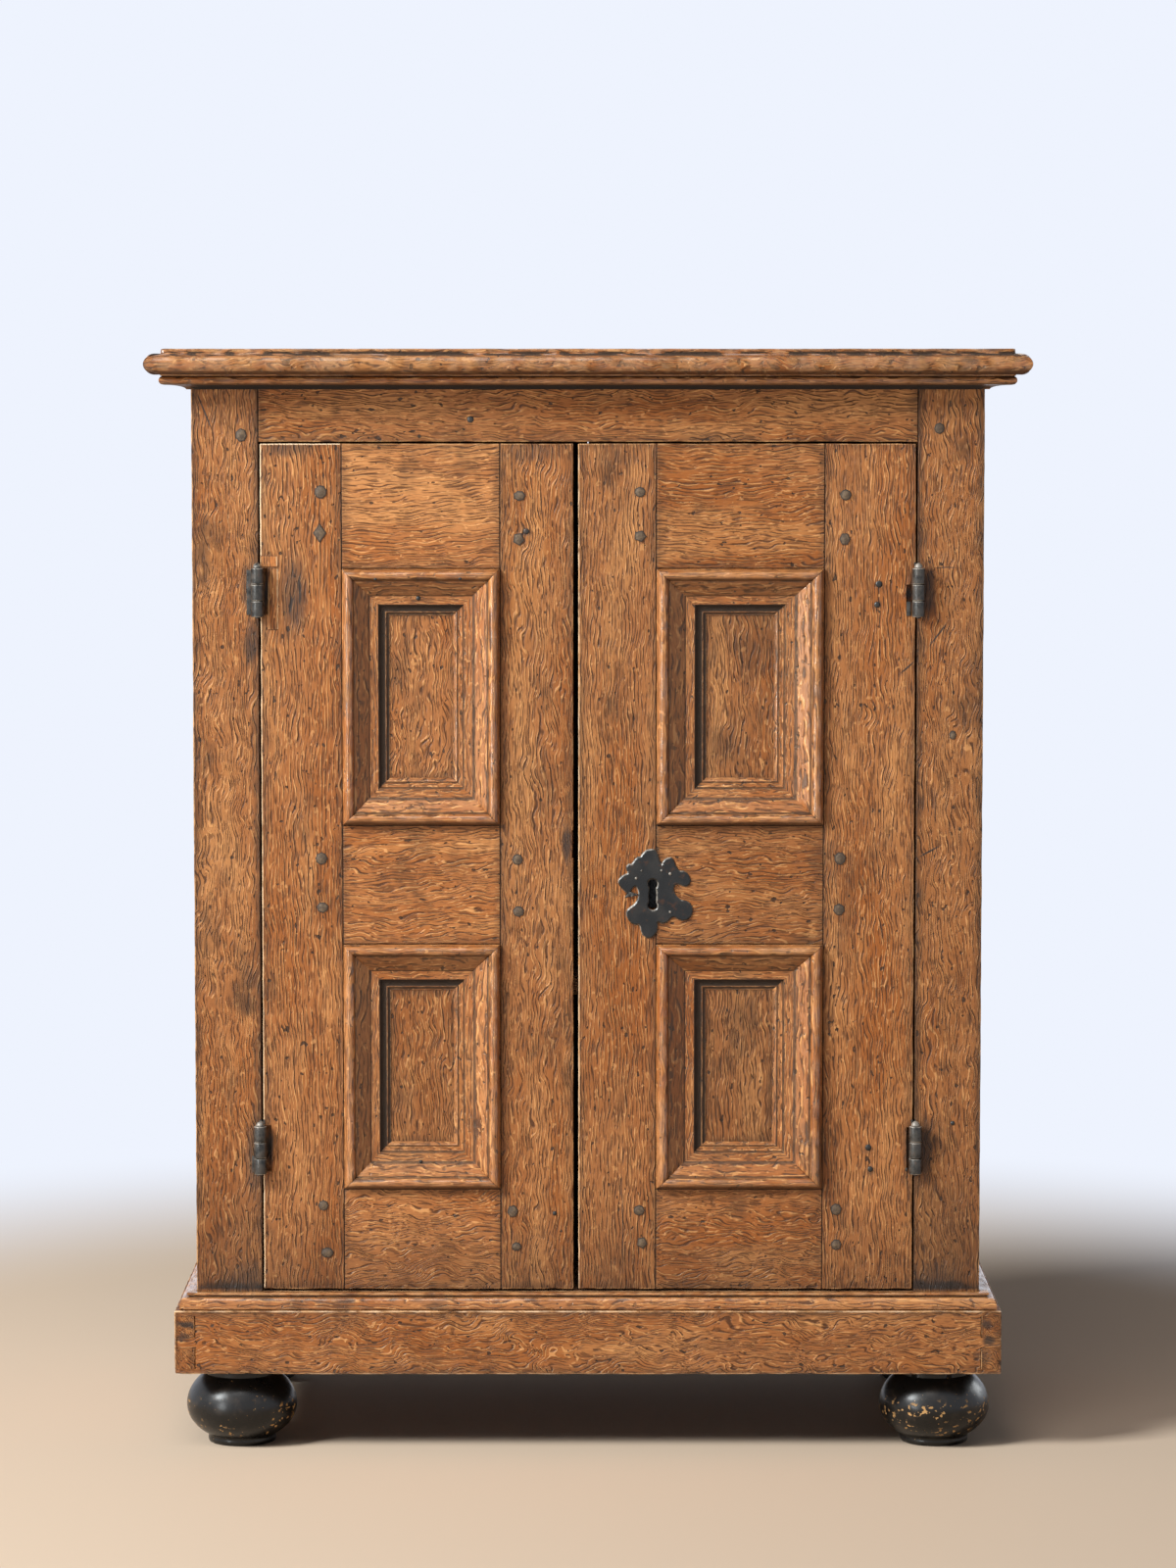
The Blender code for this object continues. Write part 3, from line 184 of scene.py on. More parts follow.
class OakSettings(bpy.types.PropertyGroup):
    """Colours and wear of the oak."""

    ground: FloatVectorProperty(name="Ground", description="Middle colour of the polished oak",
                                subtype="COLOR", size=3, min=0, max=1, default=linear(168, 108, 62))
    golden: FloatVectorProperty(name="Golden grain", description="Colour of the raised light lines",
                                subtype="COLOR", size=3, min=0, max=1, default=linear(218, 157, 99))
    umber: FloatVectorProperty(name="Dark grain", description="Colour of the pores and dark lines",
                               subtype="COLOR", size=3, min=0, max=1, default=linear(80, 47, 26))
    russet: FloatVectorProperty(name="Warm patches", description="Colour that the polish takes in places",
                                subtype="COLOR", size=3, min=0, max=1, default=linear(158, 92, 42))
    worn: FloatVectorProperty(name="Rubbed edges", description="Colour of the polished arrises",
                              subtype="COLOR", size=3, min=0, max=1, default=linear(216, 164, 112))
    # Besides the wear of the most handled arrises, this paints the highlight along the arrises marked light.
    polished: FloatVectorProperty(name="Bright arrises", description="Colour of the most handled arrises",
                                  subtype="COLOR", size=3, min=0, max=1, default=linear(244, 214, 178))
    # Also the colour of the painted shade in hollows, on faces turned down and in the moulding arms turned
    # from the light.
    dirt: FloatVectorProperty(name="Old wax and dirt", description="Colour that gathers in the corners",
                              subtype="COLOR", size=3, min=0, max=1, default=linear(52, 36, 25))
    planed: FloatProperty(name="Planed waviness", description="How deep the hand-planed hollows are",
                          unit="LENGTH", min=0, max=0.001, default=0.0003)
    rubbed: FloatProperty(name="Rubbed arrises", description="How much wood is worn off the edges",
                          unit="LENGTH", min=0, max=0.003, default=0.0012)
    arris: FloatProperty(name="Arris", description="Width of the rounding on every outer edge",
                         unit="LENGTH", min=0.0002, max=0.003, default=0.0011)


class IronSettings(bpy.types.PropertyGroup):
    """Colours of the hinges, escutcheon, lock and nails."""

    skin: FloatVectorProperty(name="Iron", description="Colour of the blackened iron",
                              subtype="COLOR", size=3, min=0, max=1, default=linear(29, 29, 28))
    # Besides rubbed wear, this paints the highlights on the knuckles' ends, the escutcheon's rims that face
    # the upper left, the pins' heads and the smallest nails.
    bright: FloatVectorProperty(name="Rubbed iron", description="Colour of the rubbed edges",
                                subtype="COLOR", size=3, min=0, max=1, default=linear(158, 150, 140))
    rust: FloatVectorProperty(name="Rust", description="Colour of the rusty patches",
                              subtype="COLOR", size=3, min=0, max=1, default=linear(96, 58, 34))


class FootSettings(bpy.types.PropertyGroup):
    """Colours of the ebonised feet."""

    black: FloatVectorProperty(name="Ebonised wood", description="Colour of the black stain",
                               subtype="COLOR", size=3, min=0, max=1, default=linear(22, 20, 18))
    chip: FloatVectorProperty(name="Chipped wood", description="Bare wood where the stain has gone",
                              subtype="COLOR", size=3, min=0, max=1, default=linear(190, 146, 92))


class StageSettings(bpy.types.PropertyGroup):
    """Floor, light and camera."""

    floor: FloatVectorProperty(name="Floor", description="Colour of the plain floor",
                               subtype="COLOR", size=3, min=0, max=1, default=linear(221, 198, 175))
    backdrop: FloatVectorProperty(name="Backdrop", description="Colour behind the cupboard",
                                  subtype="COLOR", size=3, min=0, max=1, default=linear(238, 243, 254))
    key_power: FloatProperty(name="Key light", description="Power of the large soft light",
                             unit="POWER", min=0, default=412)
    side_power: FloatProperty(name="Side light", description="Power of the tall narrow light on the left",
                              unit="POWER", min=0, default=62)
    fill_power: FloatProperty(name="Ceiling light", description="Power of the soft light overhead",
                              unit="POWER", min=0, default=40)
    room_power: FloatProperty(name="Room light", description="Power of the light from behind the right side",
                              unit="POWER", min=0, default=80)
    sky: FloatProperty(name="Sky", description="Strength of the even light from all round",
                       min=0, max=2, default=0.09)


# Patterns as arithmetic on sockets

class Signal:
    """A shader socket that takes part in plain arithmetic."""

    def __init__(self, table, socket):
        self.table = table
        self.socket = socket

    def maths(self, operation, *values):
        return self.table.add("ShaderNodeMath", {"operation": operation}, dict(enumerate(values)))

    def __add__(self, other):
        return self.maths("ADD", self, other)

    def __sub__(self, other):
        return self.maths("SUBTRACT", self, other)

    def __rsub__(self, other):
        return self.maths("SUBTRACT", other, self)

    def __mul__(self, other):
        return self.maths("MULTIPLY", self, other)

    __radd__ = __add__
    __rmul__ = __mul__

    def least(self, other):
        """The smaller of two."""
        return self.maths("MINIMUM", self, other)

    def most(self, *others):
        """The greatest of this one and the others."""
        greatest = self
        for other in others:
            greatest = self.maths("MAXIMUM", greatest, other)
        return greatest

    def wave(self):
        """A sine with one full swing for each whole number."""
        return self.maths("SINE", self * math.tau)


class NodeTable:
    """A node tree that is put together node by node."""

    def __init__(self, tree):
        self.tree = tree

    def add(self, kind, settings=None, inputs=None, output=0):
        """Add one node: first its settings, then the values or links of its sockets."""
        node = self.tree.nodes.new(kind)
        for name, value in (settings or {}).items():
            setattr(node, name, value)
        for name, value in (inputs or {}).items():
            self.feed(node.inputs[name], value)
        return Signal(self, node.outputs[output])

    def feed(self, socket, value):
        """Link a signal to a socket, or set the socket's value."""
        if isinstance(value, Signal):
            self.tree.links.new(value.socket, socket)
        else:
            socket.default_value = value

    def attribute(self, name, output="Vector"):
        """A value that the piece carries at each point."""
        return self.add("ShaderNodeAttribute", {"attribute_name": name}, output=output)

    def vector(self, operation, *values, output=0):
        return self.add("ShaderNodeVectorMath", {"operation": operation}, dict(enumerate(values)), output)

    def scaled(self, value, factor):
        return self.add("ShaderNodeVectorMath", {"operation": "SCALE"}, {0: value, "Scale": factor})

    def parts(self, value):
        """The three parts of a vector."""
        first = self.add("ShaderNodeSeparateXYZ", None, {0: value})
        return [Signal(self, socket) for socket in first.socket.node.outputs]

    def cloud(self, place, stretch, detail, rough, output="Fac"):
        """Soft noise whose grain is 1 / stretch long in each direction."""
        spread = self.vector("MULTIPLY", place, stretch)
        return self.add("ShaderNodeTexNoise", None, {"Vector": spread, "Scale": 1, "Detail": detail,
                                                     "Roughness": rough}, output)

    def rise(self, value, start, end, high=1):
        """0 below start and high above end, with a smooth rise between them."""
        return self.add("ShaderNodeMapRange", {"interpolation_type": "SMOOTHSTEP"},
                        {"Value": value, "From Min": start, "From Max": end, "To Max": high})

    def patch(self, place, stretch, detail, rough, start, end, high=1):
        """Soft noise cut to patches."""
        return self.rise(self.cloud(place, stretch, detail, rough), start, end, high)

    def blend(self, colour, *layers):
        """Lay colours over a first one, each by its own share."""
        for share, layer in layers:
            first, second = (value if isinstance(value, Signal) else (*value[:3], 1)
                             for value in (colour, layer))
            colour = self.add("ShaderNodeMix", {"data_type": "RGBA"}, {0: share, 6: first, 7: second}, 2)
        return colour

    def seen_ray(self):
        """1 where the camera, a reflection or a clear thing looks past the object."""
        path = self.add("ShaderNodeLightPath").socket.node.outputs
        camera, *others = (Signal(self, path["Is " + kind + " Ray"])
                           for kind in ("Camera", "Glossy", "Transmission"))
        return camera.most(*others)


class Finish(NodeTable):
    """A material built on one Principled shader."""

    def __init__(self, name, colour):
        self.material = bpy.data.materials.new(name)
        self.material.use_nodes = True
        self.material.diffuse_color = (*colour, 1)
        super().__init__(self.material.node_tree)
        self.shader = self.tree.nodes["Principled BSDF"]

    def set(self, **values):
        """Feed the shader's sockets, named with _ for a space."""
        for name, value in values.items():
            self.feed(self.shader.inputs[name.replace("_", " ")], value)

    def bump(self, height, distance, strength=1):
        self.set(Normal=self.add("ShaderNodeBump", None, {"Strength": strength, "Distance": distance,
                                                          "Height": height}))


def object_place(finish):
    """Where a point is on the cupboard, which stains and wear follow."""
    return finish.add("ShaderNodeTexCoord", output="Object")


def facing(finish, axis, start, end):
    """1 where the surface looks along an axis, by its normal's share between start and end."""
    normal = finish.add("ShaderNodeNewGeometry", output="Normal")
    return finish.rise(finish.parts(normal)[axis], start, end)


def edge_distance(finish):
    """How far a point of a member is from its nearest arris."""
    nearest = finish.vector("MINIMUM", finish.attribute("near_low"), finish.attribute("near_high"))
    x, y, z = finish.parts(nearest)
    return x.least(y).most(x.most(y).least(z))


def marks_mask(finish, place, marks):
    """Stains, scratches and shakes at their places on the front, and painted shade in and beside the hinge
    notches.
    """
    ragged = finish.vector("MULTIPLY_ADD", finish.cloud(place, (90, 90, 60), 2, 0.6, "Color"),
                           (0.006, 0, 0.008), place)
    fine = finish.vector("MULTIPLY_ADD", finish.cloud(place, (60, 60, 60), 1, 0.5, "Color"),
                         (0.002, 0, 0.002), place)
    scratch_width = 0.002
    masks = []
    for x, z, half_width, half_height, turn, strength in marks:
        thin = min(half_width, half_height) < scratch_width
        shift = 0.001 if thin else 0.003
        seat = PLINTH_Y if z < PLINTH_TOP else FRONT_Y
        local = finish.add("ShaderNodeMapping", {"vector_type": "TEXTURE"},
                           {"Vector": fine if thin else ragged,
                            "Location": (x + shift, seat, z + shift),
                            "Rotation": (0, math.radians(turn), 0),
                            "Scale": (half_width, 0.02, half_height)})
        away = finish.vector("LENGTH", local, output="Value")
        masks.append(finish.rise(away, 1, 0.35, strength))
    return masks[0].most(*masks[1:])


def oak_lines(finish, grain, curl):
    """Light and dark lines of the figure, and the fine strokes of the pores, each from 0 to 1."""
    drift = finish.cloud(grain, (7, 7, 3), 1, 0.5, "Color")
    bent = finish.vector("MULTIPLY_ADD", drift, (0.022, 0.022, 0), grain)
    for stretch, reach in (((62, 62, 34), curl.least(0.8) * 0.01 + 0.001),
                           ((30, 30, 20), curl.least(1.3) * 0.02),
                           ((13, 13, 9), finish.rise(curl, 1.2, 1.9, 0.05))):
        sway = finish.cloud(grain, stretch, 1, 0.5, "Color")
        bent = finish.vector("ADD", bent, finish.scaled(sway, reach))
    across, depth, _ = finish.parts(bent)
    field = finish.cloud(bent, (22, 22, 5), 2, 0.55)
    phase = (across + depth) * 285 + field * (curl * 7 + 3)
    shifted = finish.vector("ADD", bent, (0.31, 0.07, 0.53))
    light = finish.rise(phase.wave(), 0.3, 0.9) * finish.patch(bent, (200, 200, 42), 2, 0.55, 0.45, 0.57)
    dark = (finish.rise((phase + 0.3).wave() * -1, 0.32, 0.92)
            * finish.patch(shifted, (220, 220, 40), 2, 0.55, 0.43, 0.56))
    return light, dark, finish.patch(bent, (520, 520, 46), 1, 0.5, 0.55, 0.66)


def oak_figure(finish, settings, place, curl, nicks):
    """The wood's own colour, its height for the bump, and its light lines."""
    grain = finish.attribute("grain")
    light, dark, pores = oak_lines(finish, grain, curl)
    patches = finish.cloud(grain, (11, 11, 3.4), 3, 0.6)
    paler = finish.cloud(grain, (34, 34, 6), 2, 0.5)
    flecked = finish.vector("MULTIPLY_ADD", paler, (0.05, 0.05, 0.05), grain)
    holes = finish.patch(grain, (190, 190, 120), 1, 0.4, 0.718, 0.75)
    if nicks:
        holes = holes.most(finish.patch(place, (110, 110, 110), 1, 0.4, 0.715, 0.74) * nicks)
    colour = finish.blend(settings.ground,
                          (finish.rise(patches, 0.4, 0.64), settings.russet),
                          (finish.rise(paler, 0.48, 0.72, 0.35), settings.golden),
                          (finish.patch(grain, (900, 900, 90), 1, 0.5, 0.5, 0.7, 0.4), settings.umber),
                          (light * 0.8, settings.golden),
                          (dark * 0.92, settings.umber),
                          (pores * 0.62, settings.umber),
                          (finish.patch(flecked, (240, 240, 120), 1, 0.5, 0.66, 0.71, 0.55), settings.golden),
                          (holes * 0.9, settings.dirt))
    return colour, light * 0.6 - dark * 0.7 - pores * 0.5 - holes * 1.2 + patches * 0.5, light


def oak_finish(name, settings, marks=(), rough=0.48, gloss=0.32, wear=0.85, nicks=0.0, dust=0.0,
               grooves=0.94, polish=0.0, grained=0.9):
    """Old polished oak: figure, pores, wear on the crests, darkening near the edges and towards the bottom,
    painted shade in the hollows and on faces turned down, painted highlights on chosen arrises, and marks.
    """
    finish = Finish(name, settings.ground)
    place = object_place(finish)
    height = finish.parts(place)[2]
    lightness, grime, curl = finish.parts(finish.attribute("tone"))
    relief = finish.attribute("relief", "Fac")
    edge = edge_distance(finish)
    blotch = finish.cloud(place, (34, 34, 26), 3, 0.6)
    colour, raised, light = oak_figure(finish, settings, place, curl, nicks)
    colour = finish.scaled(colour, lightness + 1)

    # Darker near each member's edges and in random smears. The hollows are darkened partly with grime and
    # partly with painted shade, and faces turned down get painted shade.
    corner = finish.rise(edge + blotch * 0.02, 0.022, 0.0095) * grime
    hollow_shade_and_dirt = finish.rise(relief * -1, 0.05, 0.75)
    smear = finish.patch(place, (14, 14, 9), 4, 0.65, 0.53, 0.7) * grime
    dirty_and_shaded = (corner * 0.54).most(hollow_shade_and_dirt * grooves, smear * 0.52, facing(finish, 2, -0.25, -0.85) * 0.8)
    # Darker towards the bottom; below the plinth's top this stays only on faces turned back.
    low_down = (finish.rise(height + blotch * 0.1, 0.34, 0.19) * 0.6).most(
        finish.rise(height + blotch * 0.03, 0.212, 0.188) * 0.8,
        finish.rise(grime, 1.05, 1.5, 0.55) * finish.rise(height + blotch * 0.1, 0.44, 0.25))
    low_down = low_down * finish.rise(height, 0.17, 0.176).most(facing(finish, 1, 0.4, 0.8))
    colour = finish.blend(colour, (dirty_and_shaded.most(low_down * grime), settings.dirt))
    if marks:
        colour = finish.blend(colour, (marks_mask(finish, place, marks) * 0.94, linear(46, 43, 41)))

    # Rubbed wear lightens the crests. The arrises marked light are painted near white, partly as wear and
    # partly as highlight, more strongly near the top.
    rubbed = finish.patch(place, (60, 60, 48), 2, 0.6, 0.36, 0.62)
    free = finish.rise(relief, -0.3, -0.02)
    crest = (finish.rise(edge, 0.002, 0.0005) * free).most(finish.rise(relief, 0.25, 0.9)) * rubbed
    brightest = finish.rise(height + blotch * 0.02, 0.94, 0.99) * 0.45 + 0.36
    handled_and_highlit = finish.patch(place, (44, 44, 60), 2, 0.6, 0.34, 0.62, 0.55).most(
        finish.rise(relief, 2.3, 2.8) * brightest)
    # Near black where the relief is lowest: painted shade under the cornice and in the moulding steps turned
    # from the light, and the broken line behind the nosing's top.
    black = finish.rise(relief * -1, 1.2, 1.9)
    colour = finish.blend(colour, (crest * wear, settings.worn),
                          (finish.rise(relief, 1.2, 1.9) * handled_and_highlit, settings.polished),
                          (black, linear(20, 12, 8)))
    if dust:
        colour = finish.blend(colour, (dust, linear(150, 128, 104)))

    finish.bump(raised, 0.0007, grained)
    finish.set(Base_Color=colour, Roughness=rough + dirty_and_shaded * 0.18 + black * 0.4 - light * 0.1 - crest * polish,
               Specular_IOR_Level=gloss)
    if polish:
        glints = finish.patch(place, (52, 52, 52), 2, 0.5, 0.36, 0.6)
        finish.set(Coat_Weight=finish.rise(relief, 0.02, 0.45) * glints * 0.85, Coat_Roughness=0.13,
                   Specular_Tint=(1, 0.86, 0.72, 1))
    return finish.material


def iron_finish(settings):
    """Blackened iron with rubbed edges, painted highlights and a little rust."""
    finish = Finish("forged_iron", settings.skin)
    place = object_place(finish)
    mottle = finish.cloud(place, (130, 130, 130), 3, 0.6)
    pits = finish.cloud(place, (520, 520, 520), 2, 0.6)
    # Lighter where the relief is high: rubbed edges, and the painted highlights on knuckle ends, rims facing
    # the upper left, pin heads and the smallest nails.
    edge = finish.rise(finish.attribute("relief", "Fac"), 0.2, 0.9) * finish.rise(mottle, 0.3, 0.6)
    colour = finish.blend(settings.skin,
                          (finish.patch(place, (45, 45, 45), 2, 0.5, 0.4, 0.7, 0.35), linear(66, 62, 57)),
                          (finish.rise(mottle, 0.56, 0.74, 0.4), settings.rust),
                          (edge * 0.9, settings.bright),
                          (finish.rise(pits, 0.6, 0.74, 0.5), linear(26, 23, 22)))
    finish.bump(mottle * 0.8 + pits * 0.5, 0.0004)
    finish.set(Base_Color=colour, Metallic=0.1, Roughness=0.2 + mottle * 0.22, Specular_IOR_Level=0.42)
    return finish.material


def foot_finish(settings):
    """Ebonised wood with chips down to the bare wood on its lower half."""
    finish = Finish("black_feet", settings.black)
    place = object_place(finish)
    height = finish.parts(place)[2]
    low = finish.rise(height, 0.058, 0.044) * finish.rise(height, 0.01, 0.02)
    chips = (finish.patch(place, (180, 180, 230), 2, 0.5, 0.605, 0.625) * low
             * finish.patch(place, (34, 34, 40), 1, 0.5, 0.46, 0.54))
    fine = finish.patch(place, (420, 420, 420), 1, 0.5, 0.76, 0.78)
    worn = finish.cloud(place, (60, 60, 60), 3, 0.6)
    colour = finish.blend(settings.black, (finish.rise(worn, 0.5, 0.75, 0.45), linear(62, 52, 44)),
                          (chips.most(fine * 0.8), settings.chip))
    finish.bump(worn * 0.5 - chips * 0.8, 0.0005)
    finish.set(Base_Color=colour, Roughness=0.2 + worn * 0.2 + chips * 0.3, Specular_IOR_Level=0.38)
    return finish.material


def peg_finish():
    """End grain of the draw pegs, darkened round the rim with grime and painted shade."""
    finish = Finish("peg_ends", linear(104, 88, 70))
    mottle = finish.cloud(object_place(finish), (240, 240, 240), 3, 0.6)
    rim = finish.rise(finish.attribute("relief", "Fac"), 0.45, -0.4)
    colour = finish.blend(linear(78, 62, 47), (finish.rise(mottle, 0.4, 0.66), linear(112, 92, 71)),
                          (rim * 0.9, linear(36, 28, 22)))
    finish.bump(mottle, 0.0005)
    finish.set(Base_Color=colour, Roughness=0.55)
    return finish.material


def finish_for(name):
    """The named finish, made the first time that it is asked for."""
    made = bpy.data.materials.get(name)
    if made:
        return made
    scene = bpy.context.scene
    oak = scene.cupboard_oak
    makers = {
        "carcass_oak": lambda: oak_finish(name, oak, CARCASS_MARKS),
        "door_oak": lambda: oak_finish(name, oak, DOOR_MARKS),
        "moulded_oak": lambda: oak_finish(name, oak, rough=0.3, gloss=0.55, wear=0.5, nicks=0.6, grooves=0.8,
                                          polish=0.1, grained=0.5),
        "top_oak": lambda: oak_finish(name, oak, rough=0.5, gloss=0.36, wear=0.4, nicks=0.8, polish=0.32),
        "inner_oak": lambda: oak_finish(name, oak, rough=0.72, dust=0.3),
        "forged_iron": lambda: iron_finish(scene.cupboard_iron),
        "black_feet": lambda: foot_finish(scene.cupboard_feet),
        "peg_ends": peg_finish,
    }
    return makers[name]()


# Shaping

def stations(low, high, step, extra=()):
    """Places along an axis: close to both ends, then about step apart, and at the extra places."""
    length = high - low
    rims = [rim for rim in END_RINGS if rim < length * 0.4]
    inner = length - 2 * rims[-1]
    count = max(1, round(inner / step))
    regular = [low + rims[-1] + inner * index / count for index in range(1, count)]
    regular += [low + rim for rim in rims] + [high - rim for rim in rims]
    kept = [place for place in regular if place in (low, high)
            or all(abs(place - other) > ARRIS_REACH for other in extra)]
    return sorted(kept + [place for place in extra if low < place < high])


def fresh():
    """An empty mesh, and its layer that tells crests from hollows and also carries painted shade and
    highlight.
    """
    bm = bmesh.new()
    return bm, bm.verts.layers.float.new("relief")


def lattice(bm, counts):
    """Fill an empty mesh with a cube split into cells, and give each point with its place in them."""
    bmesh.ops.create_cube(bm, size=1)
    for axis, count in enumerate(counts):
        edges = [edge for edge in bm.edges
                 if abs(edge.verts[0].co[axis] - edge.verts[1].co[axis]) > 0.5]
        if count > 1:
            bmesh.ops.subdivide_edges(bm, edges=edges, cuts=count - 1, use_grid_fill=True)
    return [(vert, [round((vert.co[axis] + 0.5) * counts[axis]) for axis in range(3)]) for vert in bm.verts]


def grid_box(along):
    """A box with rings of points at the given places along its three axes."""
    bm = bmesh.new()
    for vert, numbers in lattice(bm, [len(places) - 1 for places in along]):
        vert.co = [places[number] for places, number in zip(along, numbers)]
    return bm


def sink(bm, axis, face, low, high, depth):
    """Press the points of one face that lie in a window inwards by depth."""
    others = [other for other in range(3) if other != axis]
    for vert in bm.verts:
        inside = all(low[other] + TINY < vert.co[other] < high[other] - TINY for other in others)
        if inside and abs(vert.co[axis] - face) < TINY:
            vert.co[axis] += depth


def bevel(bm, edges, width, segments=2):
    """Round some edges."""
    bmesh.ops.bevel(bm, geom=edges, offset=width, offset_type="OFFSET", affect="EDGES", segments=segments,
                    profile=0.5, material=-1, clamp_overlap=True)


def ease_arrises(bm, low, high, width, segments=2, joints=""):
    """Round the outer edges of a box, much less where it meets another member."""
    for share in (1, 0.35):
        chosen = []
        for edge in bm.edges:
            flush = {"xyz"[axis] + sign for axis in range(3) for sign, side in (("-", low), ("+", high))
                     if all(abs(vert.co[axis] - side[axis]) < TINY for vert in edge.verts)}
            if len(flush) == 2 and flush.isdisjoint(joints.split()) == (share == 1):
                chosen.append(edge)
        bevel(bm, chosen, width * share, segments)


def pattern_shift(seed):
    """Where a piece with this seed lies in the noise."""
    return Vector((seed * 0.731, seed * 1.193, seed * 0.417))


def swell(point):
    """Soft noise from 0 to 1."""
    return noise.noise(point) * 0.5 + 0.5


def weather(bm, low, high, planed, rubbed, seed, joints=""):
    """Move the surface inwards: shallow waves on the faces and worn lengths on the free arrises."""
    joint_reach, worn_reach, nick_reach = 0.006, 0.005, 0.003
    shift = pattern_shift(seed)
    for vert in bm.verts:
        away = [min(vert.co[axis] - low[axis], high[axis] - vert.co[axis]) for axis in range(3)]
        edge = sorted(away)[1]
        inward = Vector([(1 if vert.co[axis] < (low[axis] + high[axis]) / 2 else -1)
                         if away[axis] < ARRIS_REACH else 0 for axis in range(3)])
        if inward.length == 0:
            continue
        wave = swell(vert.co * 24 + shift)
        if arris_relief(vert.co, low, high, joints, "", joint_reach) < 0:
            vert.co += inward.normalized() * planed * wave
            continue
        worn = max(0, noise.noise(vert.co * 46 + shift) + 0.15) * max(0, 1 - edge / worn_reach)
        nick = max(0, noise.noise(vert.co * 150 + shift) - 0.25) * max(0, 1 - edge / nick_reach)
        vert.co += inward.normalized() * (planed * wave + rubbed * (worn + nick * 1.6))


def slice_across(bm, axis, places):
    """Cut the mesh by planes across one axis, so that it has points to move there."""
    normal = Vector([1 if index == axis else 0 for index in range(3)])
    for place in places:
        bmesh.ops.bisect_plane(bm, geom=bm.verts[:] + bm.edges[:] + bm.faces[:], dist=TINY,
                               plane_co=normal * place, plane_no=normal)


def inset_rim(bm, faces, thickness):
    """Inset a region, and give the points that are left round it."""
    made = bmesh.ops.inset_region(bm, faces=faces, thickness=thickness, depth=0, use_even_offset=True)
    inner = {vert for face in faces for vert in face.verts}
    return {vert for face in made["faces"] for vert in face.verts} - inner


def copied(node):
    """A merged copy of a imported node, with flat faces made whole."""
    bm = bmesh.new()
    bm.from_mesh(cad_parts[node].data)
    bmesh.ops.remove_doubles(bm, verts=bm.verts, dist=TINY)
    bmesh.ops.dissolve_limit(bm, angle_limit=math.radians(1), verts=bm.verts, edges=bm.edges)
    return bm


def arc(centre, radii, start, end, steps):
    """Points on part of an ellipse, with angles in degrees."""
    angles = [math.radians(start + (end - start) * index / steps) for index in range(steps + 1)]
    return [(centre[0] + radii[0] * math.cos(angle), centre[1] + radii[1] * math.sin(angle))
            for angle in angles]


def softened(outline, radius):
    """Round the sharp corners of a closed outline."""
    result = []
    for index, point in enumerate(outline):
        here = Vector(point)
        back = Vector(outline[index - 1]) - here
        ahead = Vector(outline[(index + 1) % len(outline)]) - here
        if back.length < TINY or ahead.length < TINY or back.angle(-ahead) < math.radians(22):
            result.append(here)
            continue
        first = here + back.normalized() * min(radius, back.length * 0.4)
        last = here + ahead.normalized() * min(radius, ahead.length * 0.4)
        result += [first, (first + here * 2 + last) / 4, last]
    return result


def outline_relief(outline, reach, scale):
    """How far each point stands out from the outline round it: crests above 0, hollows below."""
    count = len(outline)
    area = sum(outline[i - 1].x * outline[i].y - outline[i].x * outline[i - 1].y for i in range(count))
    turn = 1 if area > 0 else -1
    found = []
    for index, point in enumerate(outline):
        near = [other for other in outline if (other - point).length < reach]
        middle = sum(near, Vector((0, 0))) / len(near)
        along = (outline[(index + 1) % count] - outline[index - 1]).normalized()
        outward = Vector((along.y, -along.x)) * turn
        found.append(max(-1, min(1, (point - middle).dot(outward) / scale)))
    return found


def arm_rows(corners, closed, step, rim):
    """Rows of a mitred run: the arm, its two corners and the share of the way along it."""
    ends = corners[1:] + corners[:1] if closed else corners[1:]
    rows = []
    for arm, (start, end) in enumerate(zip(corners, ends)):
        length = (Vector(end[0]) - Vector(start[0])).length
        count = max(2, round(length / step))
        shares = [0, rim / length] + [index / count for index in range(1, count)]
        rows += [(arm, start, end, share) for share in shares + [1 - rim / length, 1]]
    return rows


